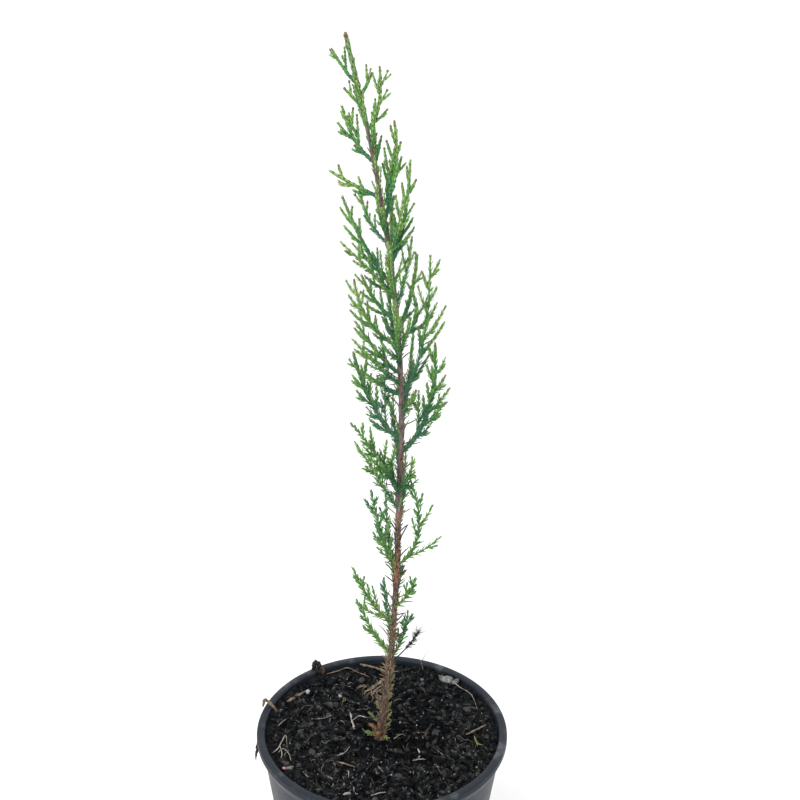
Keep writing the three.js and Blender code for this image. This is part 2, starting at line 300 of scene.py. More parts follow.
def add_piece(name, points, faces, finish, slot, nodes=(), smooth=True):
    """A mesh object from points in millimetres and one array of faces for each number of corners."""
    corners = np.concatenate([f.ravel() for f in faces])
    counts = np.concatenate([np.full(len(f), f.shape[1]) for f in faces])
    mesh = bpy.data.meshes.new(name)
    mesh.vertices.add(len(points))
    mesh.vertices.foreach_set("co", (points * MM).astype(np.float32).ravel())
    mesh.loops.add(len(corners))
    mesh.loops.foreach_set("vertex_index", corners.astype(np.int32))
    mesh.polygons.add(len(counts))
    mesh.polygons.foreach_set("loop_start", (np.cumsum(counts) - counts).astype(np.int32))
    mesh.polygons.foreach_set("use_smooth", np.full(len(counts), smooth))
    mesh.update(calc_edges=True)
    mesh.materials.append(finish)
    piece = bpy.data.objects.new(name, mesh)
    bpy.context.scene.collection.objects.link(piece)
    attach(piece, "root")
    if nodes:
        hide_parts(*nodes)
    print(f"{name}: {int((counts - 2).sum())} triangles")
    return piece


print("mesh helpers ready")

# %% [markdown]
# ## Seeded chance and smooth lumps
# Nothing grown looks right without variation, yet the script must give the same plant each time.
# A fast sine wave gives a number from 0 to 1 for any two whole numbers, always the same one, so no
# draw depends on the order of the work. Lumps in space come from such numbers on a lattice.

# %% Chance and noise
SINE_HEIGHT = 43758.5453
CHANCE_STRIDES = 12.9898, 78.233
LATTICE_STRIDES, SEED_STRIDE = np.array([127.1, 311.7, 74.7]), 19.19


def left_over(angle):
    """From 0 to 1: the fraction that is left of a sine many thousands high."""
    wave = np.sin(angle) * SINE_HEIGHT
    return wave - np.floor(wave)


def chance(first, second):
    """A number from 0 to 1 for two whole numbers, each times a stride of its own."""
    return left_over(first * CHANCE_STRIDES[0] + second * CHANCE_STRIDES[1])


def lattice_value(cell, seed):
    """A seeded number from 0 to 1 for each whole-numbered cell in space."""
    return left_over(cell @ LATTICE_STRIDES + SEED_STRIDE * seed)


def lumps(points, seed):
    """Smooth noise from -1 to 1: lattice numbers at a cell's eight corners, eased into each other."""
    cell = np.floor(points)
    part = points - cell
    ease = part * part * (3 - 2 * part)
    total = 0
    for corner in np.ndindex(2, 2, 2):
        weight = np.prod(np.where(corner, ease, 1 - ease), axis=-1)
        total = total + weight * lattice_value(cell + corner, seed)
    return 2 * total - 1


def pebbled(places, seed):
    """Distance from each place in the plane to the nearest seeded point, one point in each unit cell."""
    cell = np.floor(places)
    nearest = np.full(places.shape[:-1], np.inf)
    for step in np.ndindex(3, 3):
        other = cell + step - 1
        shift = np.stack([chance(other[..., 0] + seed, other[..., 1] + k) for k in (0, 57)], axis=-1)
        nearest = np.minimum(nearest, np.linalg.norm(other + shift - places, axis=-1))
    return nearest


print("chance(3, 4) =", round(float(chance(3, 4)), 6))

# %% [markdown]
# ## The pot
# A nursery pot is a thin tapering shell of black plastic with a bevelled collar and a rounded lip.
# Its outline turned about the upright axis gives all of it but the holes. The outline is a short
# list of corners, each rounded by a small curve, and the wall is let go a little out of round.

# %% The pot's sizes and corners
POT_HEIGHT = 112.0
POT_RIM_RADIUS = 65.0
POT_LIP_WIDTH = 4.2
POT_BASE_RADIUS = 47.0
POT_WALL = 1.4
POT_FLOOR = 2.0
COLLAR_FOOT = 104.6
WALL_TOP_RADIUS = 61.9
COLLAR_STEP_RADIUS = 63.2
COLLAR_BAND_FOOT = 109.0
GROOVE_DEPTH = 0.22
PLATE_RADIUS = 44.4


def inside_radius(height):
    """The radius of the wall's inner side: a straight taper from base to collar, less the wall."""
    return POT_BASE_RADIUS + (WALL_TOP_RADIUS - POT_BASE_RADIUS) * height / COLLAR_FOOT - POT_WALL


# Corners of the outline from under the base, up the outside, over the lip and down to the floor:
# radius, height, and how far before and after the corner its rounding starts.
POT_CORNERS = [
    (PLATE_RADIUS, 0.0, 0.0),
    (POT_BASE_RADIUS, 0.0, 1.3),
    (WALL_TOP_RADIUS, COLLAR_FOOT, 0.35),
    (COLLAR_STEP_RADIUS, COLLAR_FOOT + 0.4, 0.4),
    (POT_RIM_RADIUS, COLLAR_BAND_FOOT, 0.5),
    (POT_RIM_RADIUS, COLLAR_BAND_FOOT + 0.9, 0.08),
    (POT_RIM_RADIUS - GROOVE_DEPTH, COLLAR_BAND_FOOT + 1.1, 0.08),
    (POT_RIM_RADIUS, COLLAR_BAND_FOOT + 1.3, 0.08),
    (POT_RIM_RADIUS, POT_HEIGHT, 1.3),
    (POT_RIM_RADIUS - POT_LIP_WIDTH, POT_HEIGHT, 1.5),
    (inside_radius(COLLAR_FOOT), COLLAR_FOOT, 1.0),
    (inside_radius(POT_FLOOR), POT_FLOOR, 0.8),
    (PLATE_RADIUS, POT_FLOOR, 0.0),
]
print("pot:", len(POT_CORNERS), "corners,", 2 * POT_RIM_RADIUS, "mm across the rim")

# %% [markdown]
# Moulded plastic has no sharp corners, so each corner of the list becomes a short curve. Carried
# round the axis, the rounded line gives rings of points, and every two rings are joined by faces.

# %% Round the outline and turn it
POT_COLUMNS = 240
POT_OUT_OF_ROUND = 0.0018
LOBES_TURNED_BY = 0.7


def rounded_outline(corners, steps=7):
    """Each corner becomes a curve (1-t)^2 A + 2t(1-t) B + t^2 C from a point before it to one after it."""
    corners = np.array(corners)
    at, reach = corners[:, :2], corners[:, 2:]
    before = at + reach * unit(np.vstack([at[:1] + [1, 0], at[:-1]]) - at)
    after = at + reach * unit(np.vstack([at[1:], at[-1:] + [1, 0]]) - at)
    t = np.linspace(0, 1, steps)[:, None, None]
    curves = (1 - t) ** 2 * before + 2 * t * (1 - t) * at + t**2 * after
    return np.vstack([at[:1], curves[:, 1:-1].transpose(1, 0, 2).reshape(-1, 2), at[-1:]])


def lathe(line, columns):
    """The outline turned about the upright axis, each ring let out by a two-lobed wave of its radius."""
    angle = turns(columns)
    lobes = 1 + POT_OUT_OF_ROUND * np.cos(2 * angle + LOBES_TURNED_BY) * (line[:, 1:] / POT_HEIGHT)
    radius = line[:, :1] * lobes
    return radius[..., None] * level_way(angle) + line[:, 1:, None] * UP


def joined(parts):
    """Several shapes as one: all points in a row, and each shape's faces moved on by the points before it."""
    points = np.concatenate([p for p, _ in parts])
    starts = np.cumsum([0] + [len(p) for p, _ in parts])
    moved = [f + start for (_, faces), start in zip(parts, starts) for f in faces]
    sizes = sorted({f.shape[1] for f in moved})
    return points, [np.concatenate([f for f in moved if f.shape[1] == size]) for size in sizes]


pot_line = rounded_outline(POT_CORNERS)
pot_parts = [(lathe(pot_line, POT_COLUMNS).reshape(-1, 3), [grid_faces(len(pot_line), POT_COLUMNS)])]
print("pot outline:", len(pot_line), "points")

# %% [markdown]
# The base plate has six drain holes. A plate with a hole is a grid too: one way round runs along
# the hole and the sector's edge together, the other way runs from hole to edge. Upper plate, lower
# plate and the holes' walls are welded to the shell, and the normals are then set once for all.

# %% The pot's base plate and drain holes
DRAIN_COUNT = 6
DRAIN_RADIUS = 4.5
DRAIN_CIRCLE = 35.0
PLATE_INNER_RADIUS = 23.0
SECTOR_COLUMNS = POT_COLUMNS // DRAIN_COUNT
SIDE_STEPS = 10
PLATE_ROWS = 5
DISC_CORE = 0.05


def sector_edge():
    """One sector's edge, counter-clockwise: outer arc, side, inner arc backwards, other side."""
    half = np.pi / DRAIN_COUNT
    sweep = np.linspace(-half, half, SECTOR_COLUMNS + 1)[:-1]
    inward = np.linspace(PLATE_RADIUS, PLATE_INNER_RADIUS, SIDE_STEPS + 1)[:-1]
    outward = np.linspace(PLATE_INNER_RADIUS, PLATE_RADIUS, SIDE_STEPS + 1)[:-1]
    arcs = [np.full(SECTOR_COLUMNS, r) for r in (PLATE_RADIUS, PLATE_INNER_RADIUS)]
    radius = np.concatenate([arcs[0], inward, arcs[1], outward])
    angle = np.concatenate([sweep, np.full(SIDE_STEPS, half), -sweep, np.full(SIDE_STEPS, -half)])
    return radius[:, None] * level_way(angle)[:, :2]


def turned(flat, angle, height):
    """Points in the plane turned about the axis and lifted to a height."""
    x = flat[..., 0] * np.cos(angle) - flat[..., 1] * np.sin(angle)
    y = flat[..., 0] * np.sin(angle) + flat[..., 1] * np.cos(angle)
    return np.stack([x, y, np.full(x.shape, height)], axis=-1)


edge = sector_edge()
from_hole = np.arctan2(edge[:, 1], edge[:, 0] - DRAIN_CIRCLE)
hole = DRAIN_RADIUS * level_way(from_hole)[:, :2] + [DRAIN_CIRCLE, 0]
sector = hole + (edge - hole) * np.linspace(0, 1, PLATE_ROWS)[:, None, None]
ring = PLATE_INNER_RADIUS * level_way(turns(POT_COLUMNS))[:, :2]
disc = ring * np.linspace(1, DISC_CORE, PLATE_ROWS)[:, None, None]
last_ring = np.arange((PLATE_ROWS - 1) * POT_COLUMNS, PLATE_ROWS * POT_COLUMNS)
drain_bearings = turns(DRAIN_COUNT) + np.pi / DRAIN_COUNT
for height in (0.0, POT_FLOOR):
    for bearing in drain_bearings:
        plate = turned(sector, bearing, height).reshape(-1, 3)
        pot_parts.append((plate, [grid_faces(PLATE_ROWS, len(edge))]))
    middle = np.vstack([turned(disc, 0, height).reshape(-1, 3), [[0, 0, height]]])
    fan = fan_faces(len(middle) - 1, last_ring, True)
    pot_parts.append((middle, [grid_faces(PLATE_ROWS, POT_COLUMNS), fan]))
for bearing in drain_bearings:
    wall = np.stack([turned(hole, bearing, height) for height in (0.0, POT_FLOOR)])
    pot_parts.append((wall.reshape(-1, 3), [grid_faces(2, len(edge))]))
print("base plate:", DRAIN_COUNT, "drain holes of", 2 * DRAIN_RADIUS, "mm")

# %% [markdown]
# ## Black plastic
# The plastic is a slate black with a soft gloss. Handling leaves it uneven: paler scuffs, a film of
# dried splashes low on the wall, and fine rings from the mould. Pale patches on top of the lip are
# dusty and also carry a painted sheen. Only colour, roughness and a bump change over the surface.

# %% Finish of the pot, and the pot
PLASTIC_BLACK = (0.0112, 0.0166, 0.0244)
PLASTIC_SCUFFED = (0.0245, 0.0290, 0.0375)
DRIED_SPLASH = (0.085, 0.080, 0.072)
# Pale tone for the lip: dusty, and partly a painted sheen of light.
LIP_DUST_AND_SHEEN = (0.140, 0.142, 0.148)
SPLASH_BAND_M = (0.02, 0.085)
LIP_BAND_M = (0.1085, 0.1118)
WELD_M = 2e-6
SHARP_EDGE = math.radians(38)

pot_plastic, place = new_finish("pot_plastic")
height = height_of(place)
cloud = speckle(place, 55.0, 4.0)
scuff = between(drawn_out(place, (160, 160, 700)), 0.52, 0.74)
splash = between(speckle(place, 210.0, 3.0, 0.65), 0.60, 0.72)
dust_and_sheen = between(speckle(place, 36.0, 4.0, 0.65), 0.50, 0.68)
mould_rings = drawn_out(place, (12, 12, 2600), 1.0)
pitting = speckle(place, 1500.0)
low_down = 1 - between(height, *SPLASH_BAND_M)
on_lip = between(height, *LIP_BAND_M)
colour = mixed(0.25 * cloud + 0.5 * scuff, PLASTIC_BLACK, PLASTIC_SCUFFED)
colour = mixed(0.55 * splash * low_down, colour, DRIED_SPLASH)
# Pale patches on top of the lip: dusty, and partly a painted sheen of light.
colour = mixed(0.7 * on_lip * dust_and_sheen, colour, LIP_DUST_AND_SHEEN)
surface(colour, 0.36 + 0.16 * cloud + 0.2 * splash, 0.2, mould_rings + 0.6 * pitting, 0.00008)


def welded(piece):
    """Merges the points where two shapes meet, turns every face outwards and keeps sharp edges sharp."""
    shell = bmesh.new()
    shell.from_mesh(piece.data)
    bmesh.ops.remove_doubles(shell, verts=shell.verts, dist=WELD_M)
    bmesh.ops.recalc_face_normals(shell, faces=shell.faces)
    shell.to_mesh(piece.data)
    open_edges = sum(len(e.link_faces) != 2 for e in shell.edges)
    shell.free()
    piece.data.set_sharp_from_angle(angle=SHARP_EDGE)
    print(piece.name, "has", open_edges, "open edges")


pot = add_piece("pot_shell", *joined(pot_parts), pot_plastic, "pot_plastic", ["pot"])
welded(pot)

# %% [markdown]
# ## The potting mix
# The fill is coarse and crumbly. Its level is a sum of simple parts: a dish that rises to the wall,
# slow swells, rounded crumbs a few millimetres across, and grit.

# %% Level of the mix
WALL_GAP = 0.05
FILL_LEVEL = 103.0
FILL_EDGE_RISE = 4.2
FILL_SWELL = 0.6
FILL_FLAT_RADIUS = 11.0
FILL_EDGE_RADIUS = inside_radius(COLLAR_FOOT) - WALL_GAP
BANK_FOOT_RADIUS = 45.0
# Each bank of mix by the wall: its bearing in degrees (0 right, 90 back) and its height.
BANKS = [(52, 2.6), (152, 2.6)]
# Rounded crumbs: width, height, how far from its middle one falls below the dish, and seed.
ROUND_CRUMBS = [(4.0, 2.3, 0.55, 3), (1.9, 1.1, 0.5, 11)]
# Slow lumps and grit: width, height and seed.
UNEVENNESS = [(13, 1.1, 5), (0.7, 0.3, 8)]


def fill_level(x, y):
    """A dish: a sine swell, a rise by the square of the way out, and banks of mix by the wall."""
    share, bank = (np.clip((np.hypot(x, y) - foot) / (FILL_EDGE_RADIUS - foot), 0, 1)
                   for foot in (FILL_FLAT_RADIUS, BANK_FOOT_RADIUS))
    level = FILL_LEVEL + FILL_SWELL * np.sin(2 * np.pi * share) + FILL_EDGE_RISE * share**2
    for bearing, height in BANKS:
        facing = np.clip(np.cos(np.arctan2(y, x) - math.radians(bearing)), 0, 1)
        level = level + height * bank**2 * facing**4
    return level


def mix_height(x, y):
    """The dish, and on it rounded crumbs of two sizes, slow lumps and grit."""
    places = np.stack([x, y, np.zeros_like(x)], axis=-1)
    level = fill_level(x, y)
    for width, height, middle, seed in ROUND_CRUMBS:
        level = level + height * (middle - pebbled(places[..., :2] / width, seed))
    for width, height, seed in UNEVENNESS:
        level = level + height * lumps(places / width, seed)
    return level


print("the mix rises", FILL_EDGE_RISE, "mm to the wall")

# %% [markdown]
# One sheet over the whole pot carries these lumps: a disc of rings, each of the same area. It runs
# on down the wall and under, so that the drain holes show mix and not an empty pot.

# %% Surface of the mix
FILL_RINGS, FILL_COLUMNS = 130, 460
BASE_GAP = 0.3
FILL_FOOT = POT_FLOOR + BASE_GAP

turn = turns(FILL_COLUMNS)
rings = FILL_EDGE_RADIUS * np.sqrt((np.arange(FILL_RINGS) + 1) / FILL_RINGS)
mix_top = rings[:, None, None] * level_way(turn)
mix_top[..., 2] = mix_height(mix_top[..., 0], mix_top[..., 1])
foot_ring = (inside_radius(FILL_FOOT) - BASE_GAP) * level_way(turn) + FILL_FOOT * UP
centres = [FILL_FOOT * UP, mix_height(np.zeros(1), np.zeros(1)) * UP]
mix_points = np.vstack([foot_ring, mix_top[::-1].reshape(-1, 3), centres])
mix_faces = tube_faces(FILL_RINGS + 1, FILL_COLUMNS)
lowest, highest = mix_top[..., 2].min(), mix_top[..., 2].max()
print("mix from", round(float(lowest), 1), "to", round(float(highest), 1), "mm")

# %% [markdown]
# Damp peat is nearly black and takes almost no gloss. Two noises, one of crumb size and one much
# finer, mix a dusty grey into it, so that it never reads as a hole in the picture. Round the trunk
# it is made darker: there the distance from one place fades the dusty tone out.

# %% Finish of the mix, and the mix
PEAT_BLACK = (0.0022, 0.0024, 0.0028)
PEAT_DUSTY = (0.0224, 0.0244, 0.0268)
PEAT_GREY = (0.0640, 0.0685, 0.0720)
# How much darker the mix is made round the trunk, where that patch is centred and how far it reaches.
PEAT_DARKER_BY_TRUNK = 0.6
DARK_SPOT_PLACE_M = (0.008, 0.004)
DARK_SPOT_REACH_M = (0.046, 0.020)


def nearness_to_trunk(place):
    """1 round the trunk and 0 further out: a smooth step on the level distance, with a ragged edge."""
    flat = place.node("ShaderNodeVectorMath", {"operation": "MULTIPLY"}, {0: place, 1: (1, 1, 0)})
    sockets = {0: flat, 1: (*DARK_SPOT_PLACE_M, 0)}
    away = flat.node("ShaderNodeVectorMath", {"operation": "DISTANCE"}, sockets, "Value")
    return between(away + 0.02 * speckle(place, 70.0), *DARK_SPOT_REACH_M)


def earthy(name, dark, light, fleck, roughness=0.95, specular=0.02, trunk_darkening=0.0):
    """Dull earth: a noise of 3 mm between two tones, flecks of a third, and darker round the trunk by a
    share.
    """
    material, place = new_finish(name)
    tone = between(speckle(place, 330.0, 4.0, 0.6), 0.35, 0.75)
    flecks = between(speckle(place, 1400.0), 0.63, 0.75)
    colour = mixed(0.7 * flecks, mixed(tone, dark, light), fleck)
    if trunk_darkening:
        # Darker round the trunk, by the level distance from one place near it.
        colour = mixed(trunk_darkening * nearness_to_trunk(place), colour, dark)
    surface(colour, roughness, specular, speckle(place, 2600.0, 3.0), 0.00025)
    return material


damp_peat = earthy("damp_peat", PEAT_BLACK, PEAT_DUSTY, PEAT_GREY, trunk_darkening=PEAT_DARKER_BY_TRUNK)
add_piece("mix_surface", mix_points, mix_faces, damp_peat, "potting_mix", ["potting_mix"])

# %% [markdown]
# ## Crumbs, chips, pebbles and grit
# Loose bits lie all over the mix: black and brown crumbs, slivers of bark, smooth grey pebbles and
# pale grit. Each kind is one small lump repeated: its corners are pushed about by seeded draws, it
# is turned any way, and it is set down on the mix at its place.

# %% Lumps that can be scattered
GOLDEN = (1 + 5**0.5) / 2
NEXT_CORNER = (0.1, 1.2)


def lump_shape(finer):
    """A twenty-faced ball, its corners on a sphere; finer splits each face into four."""
    corners = [(0, a, b * GOLDEN) for a in (-1, 1) for b in (-1, 1)]
    corners = unit(np.vstack([np.roll(corners, k, axis=1) for k in range(3)]))
    gaps = np.linalg.norm(corners[:, None] - corners, axis=-1)
    near = (gaps > NEXT_CORNER[0]) & (gaps < NEXT_CORNER[1])
    faces = np.array([(i, j, k) for i in range(len(corners)) for j in range(i) for k in range(j)
                      if near[i, j] and near[j, k] and near[i, k]])
    a, b, c = (corners[faces[:, n]] for n in range(3))
    inward = np.einsum("ij,ij->i", np.cross(b - a, c - a), a) < 0
    faces[inward] = faces[inward][:, ::-1]
    if not finer:
        return corners, faces
    sides = np.sort(np.concatenate([faces[:, [0, 1]], faces[:, [1, 2]], faces[:, [2, 0]]]), axis=1)
    unique, which = np.unique(sides, axis=0, return_inverse=True)
    ab, bc, ca = which.reshape(3, -1) + len(corners)
    middles = unit(corners[unique].mean(axis=1))
    a, b, c = faces.T
    split = [(a, ab, ca), (ab, b, bc), (ca, bc, c), (ab, bc, ca)]
    return np.vstack([corners, middles]), np.concatenate([np.column_stack(t) for t in split])


crumb = lump_shape(False)
pebble = lump_shape(True)
print("crumb:", len(crumb[1]), "faces; pebble:", len(pebble[1]), "faces")

# %% [markdown]
# A copy of a lump needs a place, a size and a turn. Three turns in a row, each by a draw, lay it any
# way round. Places lie evenly over the disc when the radius is the square root of a draw.

# %% Turn, scale and place the copies
TRUNK_ROOM, WALL_ROOM = 5.0, 2.0


def part_way(first, last, share):
    """A value on the way from the first to the last: first + (last - first) share."""
    return first + (last - first) * share


def about_upright(angle):
    """The matrix of a turn about the upright axis, one for each angle."""
    zero, one = np.zeros(len(angle)), np.ones(len(angle))
    cos, sin = np.cos(angle), np.sin(angle)
    return np.array([[cos, -sin, zero], [sin, cos, zero], [zero, zero, one]])


def random_turns(count, seed, tilt=1.0):
    """A turning matrix for each copy: any turn, then a tilt of up to that share of 180 any way."""
    yaw, lean, axis = (chance(np.arange(count), seed + k) for k in range(3))
    about_x = np.roll(about_upright(np.pi * tilt * (lean - 0.5)), 1, axis=(0, 1))
    about_z, to_axis = about_upright(2 * np.pi * yaw), about_upright(2 * np.pi * axis)
    return np.einsum("abn,bcn,cdn->nad", about_z, about_x, to_axis)


def scattered(shape, places, sizes, matrices, jag, seed):
    """Copies of a lump: corners pushed in and out by jag, scaled by sizes, turned and placed."""
    corners, faces = shape
    copy, corner = np.mgrid[: len(places), : len(corners)]
    push = 1 + jag * (2 * chance(copy + 17 * seed, corner) - 1)
    points = corners[None] * push[..., None] * sizes[:, None]
    points = np.einsum("nab,ncb->nca", matrices, points) + places[:, None]
    return points.reshape(-1, 3), [copied_faces(faces, len(places), len(corners))]


def spread_places(count, seed, lift=0.0):
    """Seeded places all over the mix, kept off the wall and the trunk, lifted off the mix."""
    index = np.arange(count)
    radius = part_way(TRUNK_ROOM, FILL_EDGE_RADIUS - WALL_ROOM, np.sqrt(chance(index, seed)))
    places = radius[:, None] * level_way(2 * np.pi * chance(index, seed + 1))
    places[:, 2] = mix_height(places[:, 0], places[:, 1]) + lift
    return places


print("bits keep", TRUNK_ROOM, "mm off the trunk and", WALL_ROOM, "mm off the wall")

# %% [markdown]
# Most bits are small and few are large, as in any sieved soil, so a draw from 0 to 1 is raised to
# a power before it sets a size. The crumbs are rounded and come in three tones.

# %% Scatter the crumbs
# Each kind of crumb: name, count, dark tone, light tone and seed.
CRUMB_KINDS = [
    ("crumbs_black", 2200, (0.0024, 0.0027, 0.0032), (0.0156, 0.0168, 0.0184), 21),
    ("crumbs_brown", 700, (0.0074, 0.0072, 0.0070), (0.0370, 0.0355, 0.0330), 31),
    ("crumbs_grey", 700, (0.0225, 0.0240, 0.0260), (0.1000, 0.1030, 0.1050), 41),
]
# Smallest and largest length in millimetres, and width and thickness as shares of it.
CRUMB_SIZES, CRUMB_WIDTHS, CRUMB_THICKNESSES = (0.3, 2.0), (0.6, 1.0), (0.45, 0.85)
CRUMB_JAG = 0.28

for name, count, dark, light, seed in CRUMB_KINDS:
    size, width, thick = (chance(np.arange(count), seed + k) for k in (5, 6, 7))
    width, thick = part_way(*CRUMB_WIDTHS, width), part_way(*CRUMB_THICKNESSES, thick)
    sizes = part_way(*CRUMB_SIZES, size**3)[:, None] * np.column_stack([np.ones(count), width, thick])
    bits = scattered(crumb, spread_places(count, seed), sizes, random_turns(count, seed + 8), CRUMB_JAG, seed)
    finish = earthy(name, dark, light, PEAT_GREY, trunk_darkening=PEAT_DARKER_BY_TRUNK)
    add_piece(name, *bits, finish, "potting_mix", smooth=False)

# %% [markdown]
# Chips of bark are long and thin and lie nearly flat, and a few of them are dry and pale. Grit is
# tiny and pale. Both are dealt out like the crumbs.

# %% Scatter chips and grit
CHIP_COUNT, CHIP_LIFT, CHIP_JAG, CHIP_TILT = 420, 0.1, 0.16, 0.35
CHIP_LENGTHS, CHIP_WIDTH, CHIP_BROADENS, CHIP_THICKNESSES = (1.6, 5.5), 0.45, 0.22, (0.3, 0.6)
DRY_SHARE = 0.14
GRIT_COUNT, GRIT_LIFT, GRIT_JAG, GRIT_SIZES = 420, 0.25, 0.2, (0.12, 0.54)

length, width, thick, dry = (chance(np.arange(CHIP_COUNT), seed) for seed in (52, 53, 54, 57))
length = part_way(*CHIP_LENGTHS, length**2)
width = CHIP_WIDTH + CHIP_BROADENS * length * width
chip_sizes = np.column_stack([length, width, part_way(*CHIP_THICKNESSES, thick)])
chip_places = spread_places(CHIP_COUNT, 55, CHIP_LIFT)
chip_turns = random_turns(CHIP_COUNT, 56, CHIP_TILT)
is_dry = dry < DRY_SHARE
# Each kind of chip: name, which chips, their size beside the rest, and the three tones.
CHIP_KINDS = [
    ("bark_chips", ~is_dry, 1.0, (0.0075, 0.0078, 0.0080), (0.060, 0.060, 0.057), (0.13, 0.13, 0.125)),
    ("dry_chips", is_dry, 0.6, (0.060, 0.058, 0.050), (0.260, 0.250, 0.225), (0.42, 0.41, 0.38)),
]
for name, mask, size, *tones in CHIP_KINDS:
    chips = scattered(pebble, chip_places[mask], size * chip_sizes[mask], chip_turns[mask], CHIP_JAG, 5)
    add_piece(name, *chips, earthy(name, *tones), "potting_mix", smooth=False)

grit_sizes = part_way(*GRIT_SIZES, chance(np.arange(GRIT_COUNT), 62) ** 4)
grit_sizes = np.repeat(grit_sizes[:, None], 3, axis=1)
grit_places = spread_places(GRIT_COUNT, 63, GRIT_LIFT)
grit = scattered(crumb, grit_places, grit_sizes, random_turns(GRIT_COUNT, 64), GRIT_JAG, 7)
pale_grit = earthy("pale_grit", (0.14, 0.14, 0.13), (0.48, 0.47, 0.44), (0.66, 0.65, 0.62), 0.8, 0.3)
add_piece("pale_grit", *grit, pale_grit, "potting_mix", smooth=False)

# %% [markdown]
# The larger pebbles have places of their own in the picture, so they are a short list: where each
# lies on the mix and how long it is. Smaller ones are dealt out by chance among them.

# %% Pebbles
PEBBLES = [
    (27.8, 1.1, 2.7), (-12.8, 47.7, 2.3), (-14.1, 27.9, 2.2), (-26.3, 27.5, 2.0), (-29.5, 25.2, 2.2),
    (-40.0, 20.3, 1.7), (-35.5, -14.2, 2.2), (39.4, -8.6, 1.5), (8.7, -31.1, 2.0), (46.0, 20.7, 2.5),
    (14.9, 38.8, 2.0), (29.7, -43.7, 1.8),
]
WHITE_STONES = [(-24.4, 35.1, 1.6), (-42.6, 34.0, 1.9), (-1.2, -35.0, 1.2)]
ROUGH_CHUNKS = [(33.2, 46.2, 2.7), (37.1, 44.7, 3.4), (41.0, 42.4, 2.5), (21.9, 48.0, 1.3)]
PINK_GRAIN = [(-47.2, -33.4, 1.0)]
SMALL_PEBBLES, SMALL_LENGTHS = 14, (0.7, 1.7)
STONE_WIDTH, STONE_THICKNESS, STONE_TILT, STONE_STANDS = 0.75, 0.55, 0.2, 0.12


def laid_stones(stones, seed, jag, lift=0.0):
    """Flat oval stones, longest along a seeded direction, their middles a little above the mix."""
    x, y, length = np.array(stones).T
    sizes = length[:, None] * [1, STONE_WIDTH, STONE_THICKNESS]
    places = np.column_stack([x, y, mix_height(x, y) + STONE_STANDS * length + lift])
    return scattered(pebble, places, sizes, random_turns(len(stones), seed, STONE_TILT), jag, seed)


small_length = part_way(*SMALL_LENGTHS, chance(np.arange(SMALL_PEBBLES), 73) ** 2)
small_stones = np.column_stack([spread_places(SMALL_PEBBLES, 71)[:, :2], small_length]).tolist()
grey = laid_stones(PEBBLES + small_stones, 75, 0.09)
pale = laid_stones(WHITE_STONES, 77, 0.16)
rough = laid_stones(ROUGH_CHUNKS, 79, 0.26)
pink = laid_stones(PINK_GRAIN, 81, 0.12, 2.6)
grey_stone = earthy("grey_stone", (0.026, 0.027, 0.029), (0.078, 0.080, 0.084), (0.15, 0.15, 0.15), 0.8, 0.12)
pale_stone = earthy("pale_stone", (0.30, 0.31, 0.33), (0.50, 0.51, 0.54), (0.20, 0.19, 0.18), 0.7, 0.25)
rough_stone = earthy("rough_stone", (0.09, 0.09, 0.085), (0.42, 0.42, 0.42), (0.03, 0.03, 0.03), 0.9, 0.15)
pink_stone = earthy("pink_stone", (0.42, 0.10, 0.15), (0.62, 0.36, 0.40), (0.30, 0.06, 0.10), 0.7, 0.25)
add_piece("grey_pebbles", *grey, grey_stone, "potting_mix")
add_piece("pale_stones", *pale, pale_stone, "potting_mix")
add_piece("rough_chunks", *rough, rough_stone, "potting_mix", smooth=False)
add_piece("pink_grain", *pink, pink_stone, "potting_mix")

# %% [markdown]
# ## Sticks and root hairs
# Bits of stick and pale dry roots lie across the mix, and some lean on the rim. Each is a round
# limb: rings of points carried along a smooth line through a few knots. All limbs of a kind are
# worked out together, as an array of limb, step and direction.

# %% Limbs along lines
STEEP = 0.8


def through(knots, share):
    """Points at shares of a smooth line through the knots: Catmull-Rom cubics, half the span as slope."""
    knots = np.asarray(knots, float)
    held = np.vstack([2 * knots[0] - knots[1], knots, 2 * knots[-1] - knots[-2]])
    place = np.clip(np.asarray(share, float), 0, 1) * (len(knots) - 1)
    span = np.minimum(place.astype(int), len(knots) - 2)
    t = (place - span)[..., None]
    before, first, second, after = (held[span + k] for k in range(4))
    leave, arrive = (second - before) / 2, (after - first) / 2
    cubic = 2 * first - 2 * second + leave + arrive
    square = 3 * second - 3 * first - 2 * leave - arrive
    return cubic * t**3 + square * t**2 + leave * t + first


def squared(way, heading):
    """The part of a direction that is square to the heading, made one long."""
    return unit(way - heading * np.sum(way * heading, axis=-1, keepdims=True))


def across_of(heading, lie):
    """A direction across each limb, from a helper that is never along the way that the limb lies."""
    return squared(np.where(np.abs(lie[..., 2:]) > STEEP, RIGHT, UP), heading)


def limbs_along(lines, radii, sides):
    """Round limbs: lines is limb x step x 3, radii limb x step. Each end is closed by a point."""
    count, steps = lines.shape[:2]
    heading = unit(np.gradient(lines, axis=1))
    across = across_of(heading, heading[:, :1])
    ring = swung(across[:, :, None], np.cross(heading, across)[:, :, None], turns(sides))
    rings = lines[:, :, None] + radii[:, :, None, None] * ring
    points = np.concatenate([rings.reshape(count, -1, 3), lines[:, [0, -1]]], axis=1)
    faces = [copied_faces(f, count, points.shape[1]) for f in tube_faces(steps, sides)]
    return points.reshape(-1, 3), faces


print("limbs can follow any line")

# %% [markdown]
# A stick is never quite straight or round. Its line and its girth are shaken by draws, the more the
# thicker it is, and both of its ends are narrowed.

# %% Ragged sticks
STICK_STEPS = 18
STICK_SIDES = 6
STICK_LIFT = 0.5
STICK_END, STICK_SHOULDER, STICK_TAPER = 0.35, 0.25, 0.3
along_stick = np.linspace(0, 1, STICK_STEPS)


